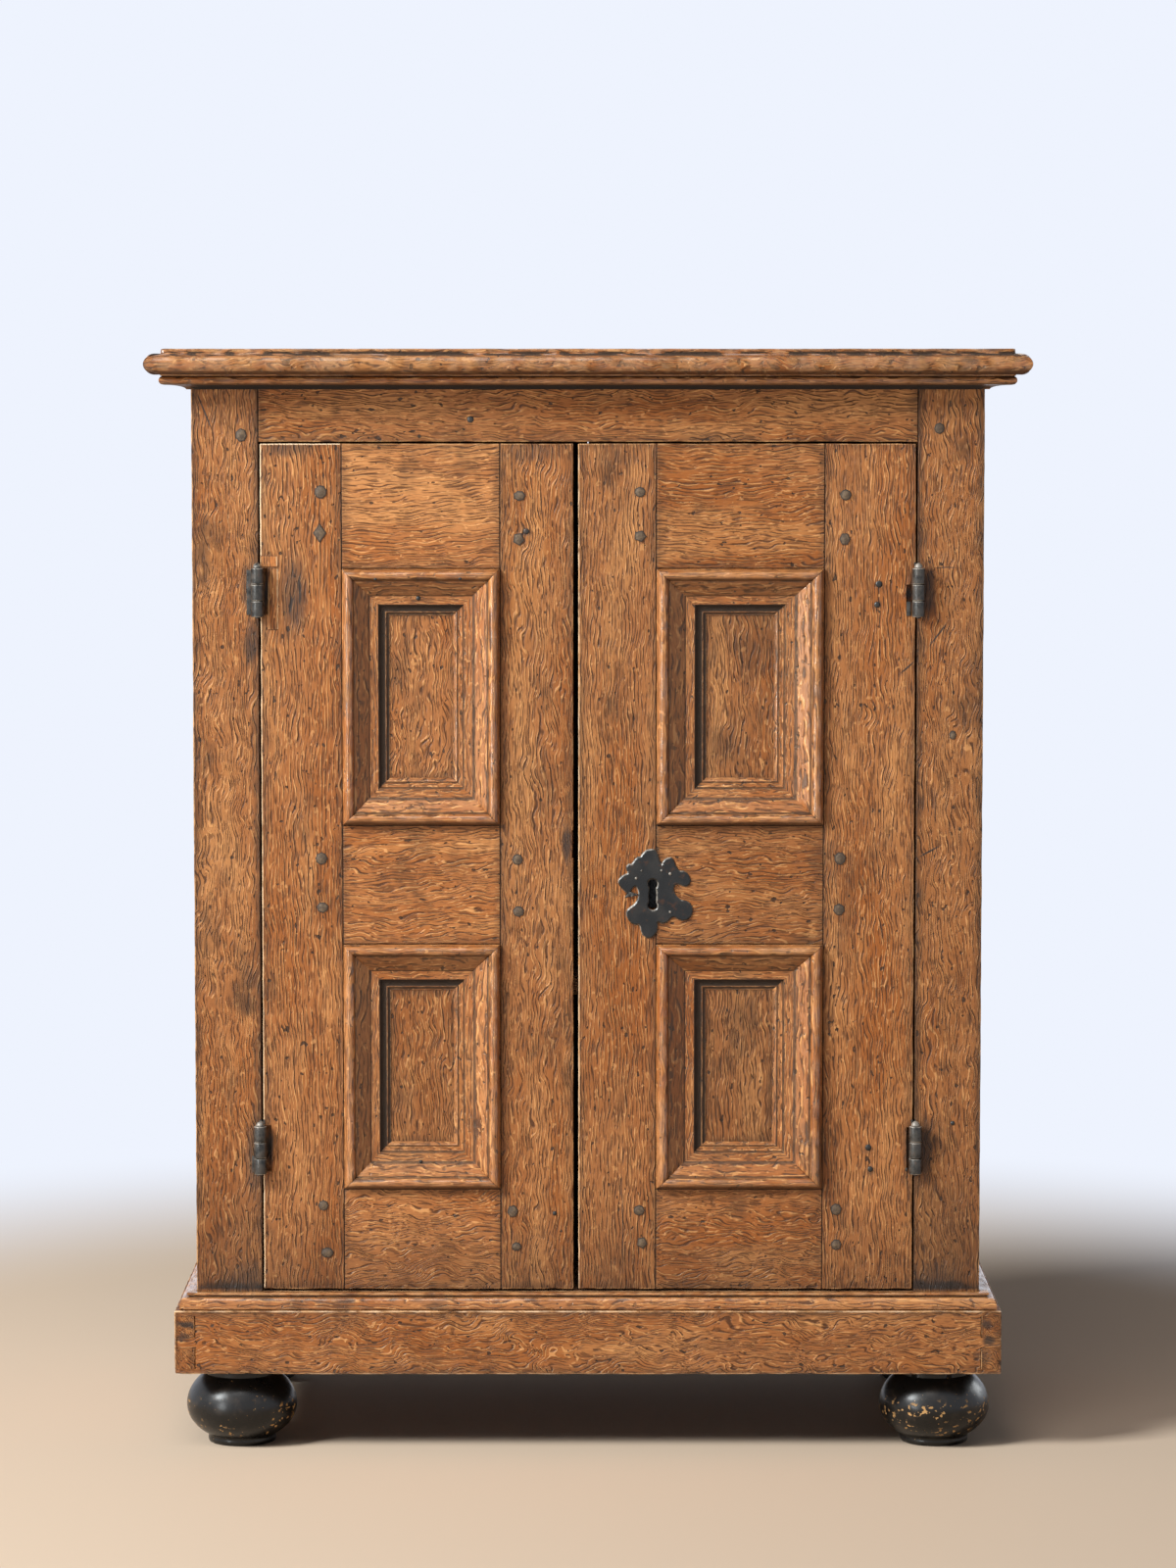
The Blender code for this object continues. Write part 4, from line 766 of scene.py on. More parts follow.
def swept(outline, rows, place, grooved, seed):
    """Carry an outline along rows as one closed skin, with its grain along each arm.

    The outline has reach and height, and place turns two plan coordinates and a height into a point.
    """
    mitre_depth = 0.0005
    ring = outline + outline[:1]
    relief = outline_relief(outline, 0.003, 0.0006)
    relief += relief[:1]
    bm, crest = fresh()
    grain = bm.loops.layers.float_vector.new("grain")
    bmesh.ops.create_grid(bm, x_segments=len(ring) - 1, y_segments=len(rows) - 1, size=0.5)
    spots = {vert: (round((vert.co.x + 0.5) * (len(ring) - 1)), round((vert.co.y + 0.5) * (len(rows) - 1)))
             for vert in bm.verts}
    for vert, (column, row) in spots.items():
        reach, rise = ring[column]
        _, (start, start_step), (end, end_step), share = rows[row]
        a = (start[0] + start_step[0] * reach) * (1 - share) + (end[0] + end_step[0] * reach) * share
        b = (start[1] + start_step[1] * reach) * (1 - share) + (end[1] + end_step[1] * reach) * share
        at_mitre = grooved and share in (0, 1) and rise > 0
        vert.co = place(a, b, rise - (mitre_depth if at_mitre else 0))
        vert[crest] = -0.8 if at_mitre else relief[column]
    for face in bm.faces:
        arm, start, end, _ = rows[min(spots[vert][1] for vert in face.verts)]
        direction = (Vector(end[0]) - Vector(start[0])).normalized()
        for loop in face.loops:
            column, row = spots[loop.vert]
            reach, rise = ring[column]
            share = rows[row][3]
            point = Vector(start[0]).lerp(Vector(end[0]), share)
            loop[grain] = (reach + arm * 0.37 + seed, rise, point.dot(direction) + arm * 1.7 + seed)
    bmesh.ops.remove_doubles(bm, verts=bm.verts, dist=TINY)
    open_edges = [edge for edge in bm.edges if edge.is_boundary]
    if open_edges:
        bmesh.ops.holes_fill(bm, edges=open_edges, sides=0)
    bmesh.ops.recalc_face_normals(bm, faces=bm.faces)
    return bm


def rub_down(bm, planed, rubbed, seed):
    """Wear a moulded skin along its normals, most on its crests."""
    crest = bm.verts.layers.float["relief"]
    shift = pattern_shift(seed)
    bm.normal_update()
    for vert in bm.verts:
        worn = max(0, noise.noise(vert.co * 70 + shift)) * max(0, vert[crest])
        vert.co -= vert.normal * (planed * swell(vert.co * 30 + shift) + rubbed * worn)


# Finished pieces

def set_values(mesh, name, values):
    """A value for every point of a mesh, as a number or a vector, unless it has one already."""
    if name in mesh.attributes:
        return
    many = isinstance(values[0], (tuple, Vector))
    layer = mesh.attributes.new(name, "FLOAT_VECTOR" if many else "FLOAT", "POINT")
    flat = [part for value in values for part in value] if many else values
    layer.data.foreach_set("vector" if many else "value", flat)


def seed_of(node):
    """A number that sets one member's pattern apart from its neighbours'."""
    return sum(ord(letter) * (index + 3) for index, letter in enumerate(node)) % 97


def grain_place(point, axis, seed):
    """Pattern coordinates of a point, with the grain's direction last."""
    order = {0: (2, 1, 0), 1: (0, 2, 1), 2: (0, 1, 2)}[axis]
    x, y, z = (point[index] for index in order)
    return x + seed * 0.61, y + seed * 0.17, z + seed * 1.31


def arris_relief(point, low, high, joints, bright, reach=ARRIS_REACH):
    """Below 0 along arrises that meet another member, 2 along those painted light and 3 along the lightest.

    A side is written as its axis and - or +, with ! for the lightest. The light ones, which are partly rubbed
    wear and partly painted highlight, and those marked f, count only at the front.
    """
    for sides, value in ((joints, -0.6), (bright, 2.0)):
        for side in sides.split():
            axis = "xyz".index(side[0])
            away = high[axis] - point[axis] if side[1] == "+" else point[axis] - low[axis]
            behind = point.y - low.y > 0.003
            if away < reach and not (behind and (value > 0 or side.endswith("f"))):
                return value + side.endswith("!")
    return 0.0


def dress(mesh, tone, axis=2, seed=0, low=None, high=None, joints="", bright=""):
    """Give a mesh the values that the oak finish reads."""
    points = [vert.co.copy() for vert in mesh.vertices]
    far = Vector((1, 1, 1))
    set_values(mesh, "grain", [grain_place(point, axis, seed) for point in points])
    set_values(mesh, "near_low", [point - low if low else far for point in points])
    set_values(mesh, "near_high", [high - point if high else far for point in points])
    set_values(mesh, "relief", [arris_relief(point, low, high, joints, bright) for point in points])
    set_values(mesh, "tone", [tone] * len(points))


def placed(name, data):
    """A new object in the scene."""
    thing = bpy.data.objects.new(name, data)
    bpy.context.scene.collection.objects.link(thing)
    return thing


def placed_mesh(name, bm):
    """A finished bmesh as an object in the scene."""
    mesh = bpy.data.meshes.new(name)
    bm.to_mesh(mesh)
    bm.free()
    return placed(name, mesh)


def add_piece(name, bm, finish, body, nodes=(), angle=38):
    """Name a finished mesh, shade it, give it its finish and hang it on its body."""
    piece = placed_mesh(name, bm)
    piece.data.materials.append(finish_for(finish))
    piece.data.shade_smooth()
    piece.data.set_sharp_from_angle(angle=math.radians(angle))
    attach(piece, body)
    if nodes:
        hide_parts(*nodes)
    return piece


def add_iron(name, bm, body, nodes=(), angle=38):
    """Finish a piece of iron."""
    add_piece(name, bm, "forged_iron", body, nodes, angle)


def carve(piece, tool_bm):
    """Cut a tool's shape out of a piece for good."""
    tool = placed_mesh("cutter", tool_bm)
    cut = piece.modifiers.new("cut", "BOOLEAN")
    cut.operation = "DIFFERENCE"
    cut.solver = "EXACT"
    cut.object = tool
    graph = bpy.context.evaluated_depsgraph_get()
    piece.data = bpy.data.meshes.new_from_object(piece.evaluated_get(graph))
    piece.modifiers.clear()
    bpy.data.objects.remove(tool)


def add_member(node, bm, slot, grain_axis, seed, low, high, joints="", bright=""):
    """Finish a wooden member, by the body that its name tells and its slot."""
    door = next((side + "_door" for side in SIDES if node.startswith(side + "_door")), None)
    finish = "inner_oak" if slot == "inside_oak" else "door_oak" if door else "carcass_oak"
    piece = add_piece("worn_" + node, bm, finish, door or "carcass", (node,))
    dress(piece.data, MEMBER_TONES.get(node, PLAIN_TONE), grain_axis, seed, low, high, joints, bright)
    return piece


def member(node, slot="frame_oak", grain_axis=2, low=None, high=None, windows=(), step=0.011,
           joints="", bright=""):
    """Shape one wooden member again over its node, with worn faces and arrises.

    A window is pressed into it: an axis, the face's place on it, two corners and a depth.
    """
    oak = bpy.context.scene.cupboard_oak
    node_low, node_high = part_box(node)
    low = Vector(low or node_low)
    high = Vector(high or node_high)
    seed = seed_of(node)
    wall = 0.0004
    extra = [[], [], []]
    for axis, _, start, end, _ in windows:
        for other in {0, 1, 2} - {axis}:
            extra[other] += [start[other], start[other] + wall, end[other] - wall, end[other]]
    bm = grid_box([stations(low[axis], high[axis], step, extra[axis]) for axis in range(3)])
    for window in windows:
        sink(bm, *window)
    ease_arrises(bm, low, high, oak.arris, joints=joints)
    weather(bm, low, high, oak.planed, oak.rubbed, seed, joints)
    return add_member(node, bm, slot, grain_axis, seed, low, high, joints, bright)


# Carcass

def leaf_window(side, node_low, node_high, face, inward):
    """The shallow seat of a hinge leaf in a member's side face."""
    low = (-1, FRONT_Y - 0.001, node_low.z - FIT_GAP)
    high = (1, FRONT_Y + LEAF_DEPTH + FIT_GAP, node_high.z + FIT_GAP)
    return 0, side * face, low, high, inward * (LEAF_THICKNESS + FIT_GAP)


def hinge_box(side, level):
    """The height range of one hinge's knuckles."""
    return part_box("hinge_post_leaf_" + SIDES[side > 0] + "_" + level)


class CUPBOARD_OT_carcass(bpy.types.Operator):
    """Posts, frieze, side rails, side panels and back boards"""

    bl_idname = "cupboard.carcass"
    bl_label = "Carcass"

    def execute(self, context):
        for side, name in zip((-1, 1), SIDES):
            seats = [leaf_window(side, *hinge_box(side, level), POST_INNER_X, side) for level in LEVELS]
            member("front_post_" + name, windows=seats, joints="z- z+ x+f" if side < 0 else "z- z+ x-f")
            member("rear_post_" + name)
            self.side(name)
            member("back_board_" + name, "inside_oak", step=0.02)
        low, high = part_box("frieze_rail")
        member("frieze_rail", "frame_oak", 0, (-POST_INNER_X + FIT_GAP, low.y, low.z),
               (POST_INNER_X - FIT_GAP, high.y, high.z), joints="x- x+ z+")
        return {"FINISHED"}

    def side(self, name):
        """The two rails and the panel of one side."""
        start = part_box("front_post_" + name)[1].y + FIT_GAP
        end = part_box("rear_post_" + name)[0].y - FIT_GAP
        for level in ("top", "bottom"):
            node = "side_" + level + "_rail_" + name
            low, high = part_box(node)
            member(node, "frame_oak", 1, (low.x, start, low.z), (high.x, end, high.z), joints="y- y+ z- z+")
        member("side_panel_" + name, "panel_oak")


class CUPBOARD_OT_boards(bpy.types.Operator):
    """Floor board, shelf and the three dovetailed plinth boards"""

    bl_idname = "cupboard.boards"
    bl_label = "Boards"

    def execute(self, context):
        for node in ("floor_board", "shelf"):
            self.board(node, "inside_oak", 0)
        # The plinth's top and bottom arrises are painted light, partly as wear and partly as highlight.
        self.board("plinth_front", "frame_oak", 0, 1.6, "z+ z-")
        for name in SIDES:
            self.board("plinth_" + name, "frame_oak", 1)
        return {"FINISHED"}

    def board(self, node, slot, grain_axis, softness=1.0, bright=""):
        """One board with its own joints, cut across so that its faces can be planed."""
        oak = bpy.context.scene.cupboard_oak
        low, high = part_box(node)
        bm = copied(node)
        for axis in range(3):
            slice_across(bm, axis, stations(low[axis], high[axis], 0.012)[1:-1])
        ease_arrises(bm, low, high, oak.arris * softness, 3)
        seed = len(node) * 7 % 13
        weather(bm, low, high, oak.planed, oak.rubbed * 1.3, seed)
        add_member(node, bm, slot, grain_axis, seed, low, high, bright=bright)


class CUPBOARD_OT_top_board(bpy.types.Operator):
    """Top board with its round nosing and upper fillet"""

    bl_idname = "cupboard.top_board"
    bl_label = "Top board"

    corner = 0.013
    nose = 0.01125  # radius of the round nosing
    ledge = 0.018  # from the nosing's face back to the fillet
    rim = 0.025

    def execute(self, context):
        oak = context.scene.cupboard_oak
        low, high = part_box("top_board")
        levels = self.levels(high.x - HALF_WIDTH)
        inner_x = HALF_WIDTH + self.rim
        xs = [-1] + stations(-inner_x, inner_x, 0.01) + [1]
        ys = [-1] + stations(FRONT_Y - self.rim, BACK_Y, 0.012)
        bm, crest = fresh()
        numbered = lattice(bm, (len(xs) - 1, len(ys) - 1, len(levels) - 1))
        for vert, (i, j, k) in numbered:
            reach, height = levels[k]
            x = math.copysign(HALF_WIDTH + reach, xs[i]) if i in (0, len(xs) - 1) else xs[i]
            y = FRONT_Y - reach if j == 0 else ys[j]
            vert.co = (x, y, low.z + height)
        for vert, (i, j, k) in numbered:
            rim = i in (0, len(xs) - 1) or j == 0
            vert[crest] = self.crest(levels, k, noise.noise(vert.co * 55)) if rim else 0
        tips = {vert for vert, (i, j, _) in numbered if i in (0, len(xs) - 1) and j == 0}
        corners = [edge for edge in bm.edges if tips.issuperset(edge.verts)]
        bevel(bm, corners, self.corner, 7)
        rub_down(bm, oak.planed * 1.4, oak.rubbed, 5)
        piece = add_piece("worn_top_board", bm, "top_oak", "carcass", ("top_board",))
        dress(piece.data, MEMBER_TONES["top_board"], 0, 5)
        return {"FINISHED"}

    def levels(self, overhang):
        """Reach and height of each ring round the edge, from the underside up."""
        radius = self.nose
        nosing = arc((overhang - radius, radius), (radius, radius), -90, 90, 14)
        ledge = overhang - self.ledge
        low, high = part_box("top_board")
        top = high.z - low.z
        return nosing + [(ledge + 0.0004, radius * 2 + 0.0001), (ledge, radius * 2 + 0.0008),
                         (ledge, top - 0.0014), (ledge - 0.0005, top - 0.0004), (ledge - 0.0016, top)]

    def crest(self, levels, index, chance):
        """Painted shade under the nosing, a broken near-black line behind its top, and wear on its round and
        arris.
        """
        height = levels[index][1]
        if abs(height - self.nose * 2) < 0.0012:
            return -1.5 if chance > -0.12 else 0.6
        if height > self.nose * 2:
            return 0.9
        return 0.7 if 0.004 < height < 0.019 else -0.2


# Mouldings

def wrap_corners():
    """The line round the front of the carcass, from back left to back right."""
    x = HALF_WIDTH + FIT_GAP
    y = FRONT_Y - FIT_GAP
    return [((-x, BACK_Y), (-1, 0)), ((-x, y), (-1, -1)), ((x, y), (1, -1)), ((x, BACK_Y), (1, 0))]


class CUPBOARD_OT_run_mouldings(bpy.types.Operator):
    """Moulding under the top board and the one on the plinth"""

    bl_idname = "cupboard.run_mouldings"
    bl_label = "Run mouldings"

    fillet = 0.0104  # height of the cornice's fillet and quirk

    def execute(self, context):
        low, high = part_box("cornice_moulding")
        reach = -HALF_WIDTH - FIT_GAP - low.x
        self.run("cornice_moulding", self.cornice(reach, high.z - low.z), high.z, 3, self.fillet)
        low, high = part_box("plinth_moulding")
        reach = -HALF_WIDTH - FIT_GAP - low.x
        self.run("plinth_moulding", self.ovolo(reach, high.z - low.z), low.z, 8)
        return {"FINISHED"}

    def cornice(self, reach, height):
        """Quirk, rounded fillet and cove, measured down from the top board."""
        cove = arc((reach - 0.006, -height), (reach - 0.01, height - self.fillet), 90, 180, 12)
        fillet = arc((reach - 0.0044, -0.0054), (0.0044, 0.0046), 75, -82, 8)
        return ([(0, 0.001), (reach - 0.0014, 0.001), (reach - 0.0014, -0.0008)] + fillet
                + cove + [(0, -height)])

    def ovolo(self, reach, height):
        """Ovolo under a small fillet, measured up from the plinth."""
        top = 0.0124
        fillet = 0.0095
        ovolo = arc((0.0125, 0), (reach - 0.0125, top), 0, 90, 10)
        return ([(0, 0)] + ovolo + [(fillet - 0.002, top), (fillet - 0.002, height - 0.0031),
                                    (fillet, height - 0.0031), (fillet, height), (0, height)])

    def run(self, node, outline, base, seed, shaded=1.0):
        """Sweep one moulding. What lies more than the shaded depth under its base, on the front only, is
        painted near-black as shade.
        """
        oak = bpy.context.scene.cupboard_oak
        rows = arm_rows(wrap_corners(), False, 0.01, 0.0012)
        bm = swept(softened(outline, 0.0006), rows, lambda a, b, v: (a, b, base + v), False, seed)
        crest = bm.verts.layers.float["relief"]
        for vert in bm.verts:
            if vert.co.z < base - shaded and abs(vert.co.x) < HALF_WIDTH:
                vert[crest] = -2
        rub_down(bm, oak.planed * 0.8, oak.rubbed * 0.8, seed)
        piece = add_piece("worn_" + node, bm, "moulded_oak", "carcass", (node,), angle=50)
        dress(piece.data, (0.08, 1.0, 0.4))


class CUPBOARD_OT_door_mouldings(bpy.types.Operator):
    """Mitred bolection frames round the four door panels"""

    bl_idname = "cupboard.door_mouldings"
    bl_label = "Door mouldings"

    dirt_start, dirt_end = 0.0132, 0.05  # of the part of an arm painted with shade and some grime, from its outer edge

    def execute(self, context):
        for index, side in enumerate(SIDES):
            for seed, level in enumerate(LEVELS, 11 + index * 2):
                self.frame(side, level, seed)
        return {"FINISHED"}

    def outline(self):
        """From the outer edge inwards: fillet, bead, slope, band, deep step and a small ridge."""
        back, width = -0.009, 0.0505
        bead = arc((0.007, 0.0014), (0.006, 0.008), 168, 28, 18)
        slopes = [(0.0131, 0.0042), (0.0138, 0.0044), (0.017, 0.003), (0.021, 0.0008),
                  (0.025, -0.0014), (0.0282, -0.0028)]
        band = [(0.029, -0.0036), (0.0297, -0.0038), (0.0386, -0.004)]
        steps = [(0.0394, -0.0048), (0.0406, -0.0074), (0.0414, -0.0078), (0.045, -0.0079),
                 (0.046, -0.0075), (0.0469, -0.0075), (0.0476, -0.0082), (0.05, -0.0089)]
        return [(0, back), (0, 0.0016)] + bead + slopes + band + steps + [(width, back)]

    def dirt(self, reach, turned_away):
        """Painted shade, with some grime, on the inner part of an arm, by how far it is from the outer edge:
        near black in the steps of arms turned from the light, dark creases in the others and a lighter line
        on their ridge.
        """
        if turned_away:
            steps = ((0.0284, -0.42), (0.0296, -1.3), (0.0384, 0.1), (0.0456, -1.75), (0.047, -0.5))
        else:
            steps = ((0.0142, -0.8), (0.028, 0.0), (0.0294, -0.9), (0.0384, 0.1), (0.0404, -1.2),
                     (0.0448, 0.0), (0.0462, -0.8), (0.0472, 0.5))
        return next((value for end, value in steps if reach < end), -1.7 if turned_away else -0.3)

    def frame(self, side, level, seed):
        """Sweep one frame, and paint shade with some grime on it by the distance from its outer edge, darkest
        on the left and top arms, which are turned from the light.
        """
        oak = bpy.context.scene.cupboard_oak
        body = side + "_door"
        node = body + "_" + level + "_moulding"
        low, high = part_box(node)
        wide = ARM_WIDENING[side]
        corners = [((low.x, low.z), (wide, 1)), ((high.x, low.z), (-wide, 1)),
                   ((high.x, high.z), (-wide, -1)), ((low.x, high.z), (wide, -1))]
        rows = arm_rows(corners, True, 0.008, 0.001)
        bm = swept(softened(self.outline(), 0.0007), rows, lambda a, b, v: (a, FRONT_Y - v, b), True, seed)
        crest = bm.verts.layers.float["relief"]
        for vert in bm.verts:
            reaches = ((vert.co.x - low.x) / wide, high.z - vert.co.z,
                       (high.x - vert.co.x) / wide, vert.co.z - low.z)
            reach = min(reaches)
            if self.dirt_start < reach < self.dirt_end:
                vert[crest] = self.dirt(reach, reaches.index(reach) < 2)
        rub_down(bm, oak.planed * 0.7, oak.rubbed * 0.7, seed)
        piece = add_piece("worn_" + node, bm, "moulded_oak", body, (node,), angle=50)
        dress(piece.data, (0.1, 1.0, 0.25))


# Doors

class CUPBOARD_OT_doors(bpy.types.Operator):
    """Stiles, rails and panels of both doors"""

    bl_idname = "cupboard.doors"
    bl_label = "Doors"

    bolt_hole = (0.64, 0.67)
    bolt_hole_depth = 0.008

    def execute(self, context):
        for side, name in zip((-1, 1), SIDES):
            self.door(side, name)
        return {"FINISHED"}

    def door(self, side, name):
        """One door. The left one has a hole for the lock's bolt, and the right one has the keyhole."""
        stem = name + "_door_"
        hinge_low, hinge_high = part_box(stem + "hinge_stile")
        meeting_low, meeting_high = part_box(stem + "meeting_stile")
        edge = max(abs(hinge_low.x), abs(hinge_high.x))
        windows = [leaf_window(side, *hinge_box(side, level), edge, -side) for level in LEVELS]
        windows += [self.knuckle_window(side, level, edge) for level in LEVELS]
        if side < 0:
            foot, head = self.bolt_hole
            hole = (0, meeting_high.x, (0, FRONT_Y - 0.001, foot), (0, FRONT_Y + 0.02, head),
                    -self.bolt_hole_depth)
            # Its outer left and top arrises are painted near white, partly as wear and partly as highlight.
            member(stem + "hinge_stile", windows=windows, joints="x+", bright="x-! z+!")
            member(stem + "meeting_stile", windows=[hole], joints="x-")
        else:
            member(stem + "hinge_stile", windows=windows, joints="x-")
            # Its left arris is painted light, partly as wear and partly as highlight.
            meeting = member(stem + "meeting_stile", joints="x+", bright="x-")
        start = min(hinge_high.x, meeting_high.x) + FIT_GAP
        end = max(hinge_low.x, meeting_low.x) - FIT_GAP
        rails = {}
        for level, joints in (("bottom", "x- x+ z+"), ("middle", "x- x+ z- z+"), ("top", "x- x+ z-")):
            node = stem + level + "_rail"
            low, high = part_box(node)
            rails[level] = member(node, "frame_oak", 0, (start, low.y, low.z), (end, high.y, high.z),
                                  joints=joints)
        for level in LEVELS:
            self.panel(name, stem + level)
        if side > 0:
            # After the keyhole is cut, the meeting stile's left arris is painted light again.
            self.bore(meeting, "x+", "x-")
            self.bore(rails["middle"], "x- x+ z- z+", "")

    def panel(self, side, stem):
        """A panel whose edge, as seen from the front, is the inside of its moulding."""
        piece = member(stem + "_panel", "panel_oak")
        low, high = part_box(stem + "_moulding")
        inset = Vector((MOULDING_INNER * ARM_WIDENING[side], 0, MOULDING_INNER))
        panel_low, panel_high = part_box(stem + "_panel")
        low = Vector((low.x, panel_low.y, low.z)) + inset
        high = Vector((high.x, panel_high.y, high.z)) - inset
        for name, sign, corner in (("near_low", 1, low), ("near_high", -1, high)):
            for vert, item in zip(piece.data.vertices, piece.data.attributes[name].data):
                if vert.co.y < (low.y + high.y) / 2:
                    item.vector = (vert.co - corner) * sign

    def knuckle_window(self, side, level, edge):
        """The notch in the door's face beside a hinge's barrel."""
        past_edge, depth = 0.001, 0.006
        low = hinge_box(side, level)[0]
        width, start, end = NOTCHES[SIDES[side > 0] + "_" + level]
        left, right = sorted((side * (edge + past_edge), side * (edge - width)))
        return 1, FRONT_Y, (left, 0, low.z + start), (right, 0, low.z + end), depth

    def bore(self, piece, joints, bright):
        """Cut the keyhole, then give the cut piece its values again."""
        low = Vector(piece.bound_box[0])
        high = Vector(piece.bound_box[6])
        node = piece.name.replace("worn_", "")
        carve(piece, keyhole_prism(0.0004, FRONT_Y - 0.01, 0.06))
        for name in ("grain", "near_low", "near_high", "relief", "tone"):
            piece.data.attributes.remove(piece.data.attributes[name])
        grain_axis = 0 if "rail" in node else 2
        dress(piece.data, MEMBER_TONES[node], grain_axis, seed_of(node), low, high, joints, bright)


# Ironwork

# The lobed plate in millimetres from the middle of its keyhole, clockwise from the top lobe
ESCUTCHEON_OUTLINE = (
    (-13.4, 41), (-11, 44.3), (-8.2, 47.2), (-5, 48.8), (-1.5, 49.2), (1.7, 48.8), (4.1, 46.4),
    (5.7, 42.9), (7, 38.8), (8.3, 35), (9.5, 32.9), (10.5, 35.5), (12.4, 37.9), (15.5, 39.5),
    (19.3, 40.4), (22, 38.7), (23.6, 34.8), (25.2, 30.7), (27.2, 27.2), (29.2, 25.6), (33.1, 25.6),
    (36.8, 23.6), (39.5, 19.8), (40.8, 15.2), (40, 11), (37.2, 8.7), (33.6, 8.4), (30.5, 9.9),
    (28, 10.8), (25.2, 10.5), (23.3, 8.7), (22.7, 5.8), (23.3, 2.5), (24.9, -0.6), (27.6, -3.4),
    (30.5, -5.5), (32.8, -5.8), (36.4, -6.6), (40.3, -9.4), (42.5, -13.6), (43, -18.8), (41.1, -24.3),
    (37.2, -27.5), (32.4, -28.6), (27.6, -27), (23.9, -24.6), (22, -24.4), (20.1, -25.6), (18.3, -27.6),
    (16.1, -29.7), (12.9, -31.3), (9.5, -31.3), (7, -29.7), (5.4, -30.5), (5.5, -34.8), (4.6, -40.6),
    (1.8, -44.9), (-2.2, -47.3), (-6.8, -46.7), (-10.8, -43.3), (-12.9, -38.2), (-13.9, -33.7),
    (-15, -32.3), (-18.3, -32.8), (-22.8, -31), (-26.2, -27), (-28.3, -22.2), (-28.6, -18.8),
    (-27, -15.6), (-23.8, -12.9), (-20.1, -10.3), (-17.9, -7.4), (-15.9, -3.6), (-15.2, 0.4),
    (-15.9, 4.4), (-17.2, 7.8), (-18.8, 8.9), (-20.7, 7), (-22.8, 3.9), (-24.6, 0.7), (-27.2, 1),
    (-31.3, 4.7), (-35, 8.7), (-37.2, 12.7), (-36.6, 16.4), (-33.9, 19.6), (-30.5, 21.6), (-27.3, 22.8),
    (-26.8, 24.3), (-28.2, 26.2), (-28.6, 29.2), (-27.4, 32), (-25.1, 33.3), (-22.8, 32.9), (-21.1, 35.5),
    (-18.8, 38.7), (-16.3, 40.8),
)


def keyhole_outline(grow):
    """A round over a slot with a wider foot, about the escutcheon's own middle."""
    half_height, half_slot, head, foot = 0.0165, 0.0039, 0.0052, 0.005
    top = arc((0, half_height - head), (head + grow, head + grow), -50, 230, 14)
    bottom = arc((0, foot - half_height), (foot + grow, foot + grow), 140, 400, 14)
    return top + [(-half_slot - grow, 0)] + bottom + [(half_slot + grow, 0)]


def keyhole_centre():
    """The lobed plate's own middle, from its box and the plate's uneven outline."""
    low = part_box("escutcheon")[0]
    return low.x + 0.0383, low.z + 0.0474


def thickened(bm, faces, depth):
    """Pull flat faces along Y, and give the faces at the far end."""
    made = bmesh.ops.extrude_face_region(bm, geom=faces)["geom"]
    far = [item for item in made if isinstance(item, bmesh.types.BMVert)]
    bmesh.ops.translate(bm, vec=(0, depth, 0), verts=far)
    bmesh.ops.recalc_face_normals(bm, faces=bm.faces)
    return [item for item in made if isinstance(item, bmesh.types.BMFace)]


def keyhole_prism(grow, start_y, depth):
    """A solid in the keyhole's shape, to cut with."""
    x, z = keyhole_centre()
    bm = bmesh.new()
    face = bm.faces.new([bm.verts.new((x + a, start_y, z + b)) for a, b in keyhole_outline(grow)])
    thickened(bm, [face], depth)
    return bm


class CUPBOARD_OT_escutcheon(bpy.types.Operator):
    """Lobed plate round the keyhole, with filed edges"""

    bl_idname = "cupboard.escutcheon"
    bl_label = "Escutcheon"

    def execute(self, context):
        low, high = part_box("escutcheon")
        x, z = keyhole_centre()
        bm, crest = fresh()
        lobes = softened([(a * 0.001, b * 0.001) for a, b in ESCUTCHEON_OUTLINE], 0.0008)
        for outline in (lobes, keyhole_outline(0)):
            verts = [bm.verts.new((x + a, high.y, z + b)) for a, b in outline]
            for pair in zip(verts, verts[1:] + verts[:1]):
                bm.edges.new(pair)
        bmesh.ops.triangle_fill(bm, use_beauty=True, edges=bm.edges[:], normal=(0, -1, 0))
        front = thickened(bm, bm.faces[:], low.y - high.y)
        bevel_rings = ((0.0005, 0.0015, 0.5), (0.0012, 0.0008, 0.5), (0.001, 0, 0.1))
        for thickness, drop, value in bevel_rings:
            for vert in inset_rim(bm, front, thickness):
                vert.co.y += drop
                vert[crest] = value
        slice_across(bm, 0, stations(low.x, high.x, 0.006)[1:-1])
        slice_across(bm, 2, stations(low.z, high.z, 0.006)[1:-1])
        bm.normal_update()
        # Rims that face the light from the upper left get a painted highlight.
        upper_left = (-0.75, 0, 0.66)
        for vert in bm.verts:
            if vert.co.y < high.y - TINY:
                vert.co.y += 0.0003 * swell(vert.co * 55)
                if vert.normal.dot(upper_left) > 0.34:
                    vert[crest] = 0.9
        add_iron("filed_escutcheon", bm, "right_door", ("escutcheon",), angle=24)
        return {"FINISHED"}


def edges_of(made):
    """The edges of a shape that was just made, always in the same order."""
    return list(dict.fromkeys(edge for vert in made["verts"] for edge in vert.link_edges))


def knuckle(bm, centre, low_z, high_z, radius):
    """One rolled knuckle with eased ends."""
    height = high_z - low_z
    made = bmesh.ops.create_cone(bm, cap_ends=True, cap_tris=False, segments=28, radius1=radius,
                                 radius2=radius, depth=height,
                                 matrix=Matrix.Translation((*centre, (low_z + high_z) / 2)))
    rims = [edge for edge in edges_of(made) if abs(edge.verts[0].co.z - edge.verts[1].co.z) < TINY]
    bevel(bm, rims, 0.0011, 3)


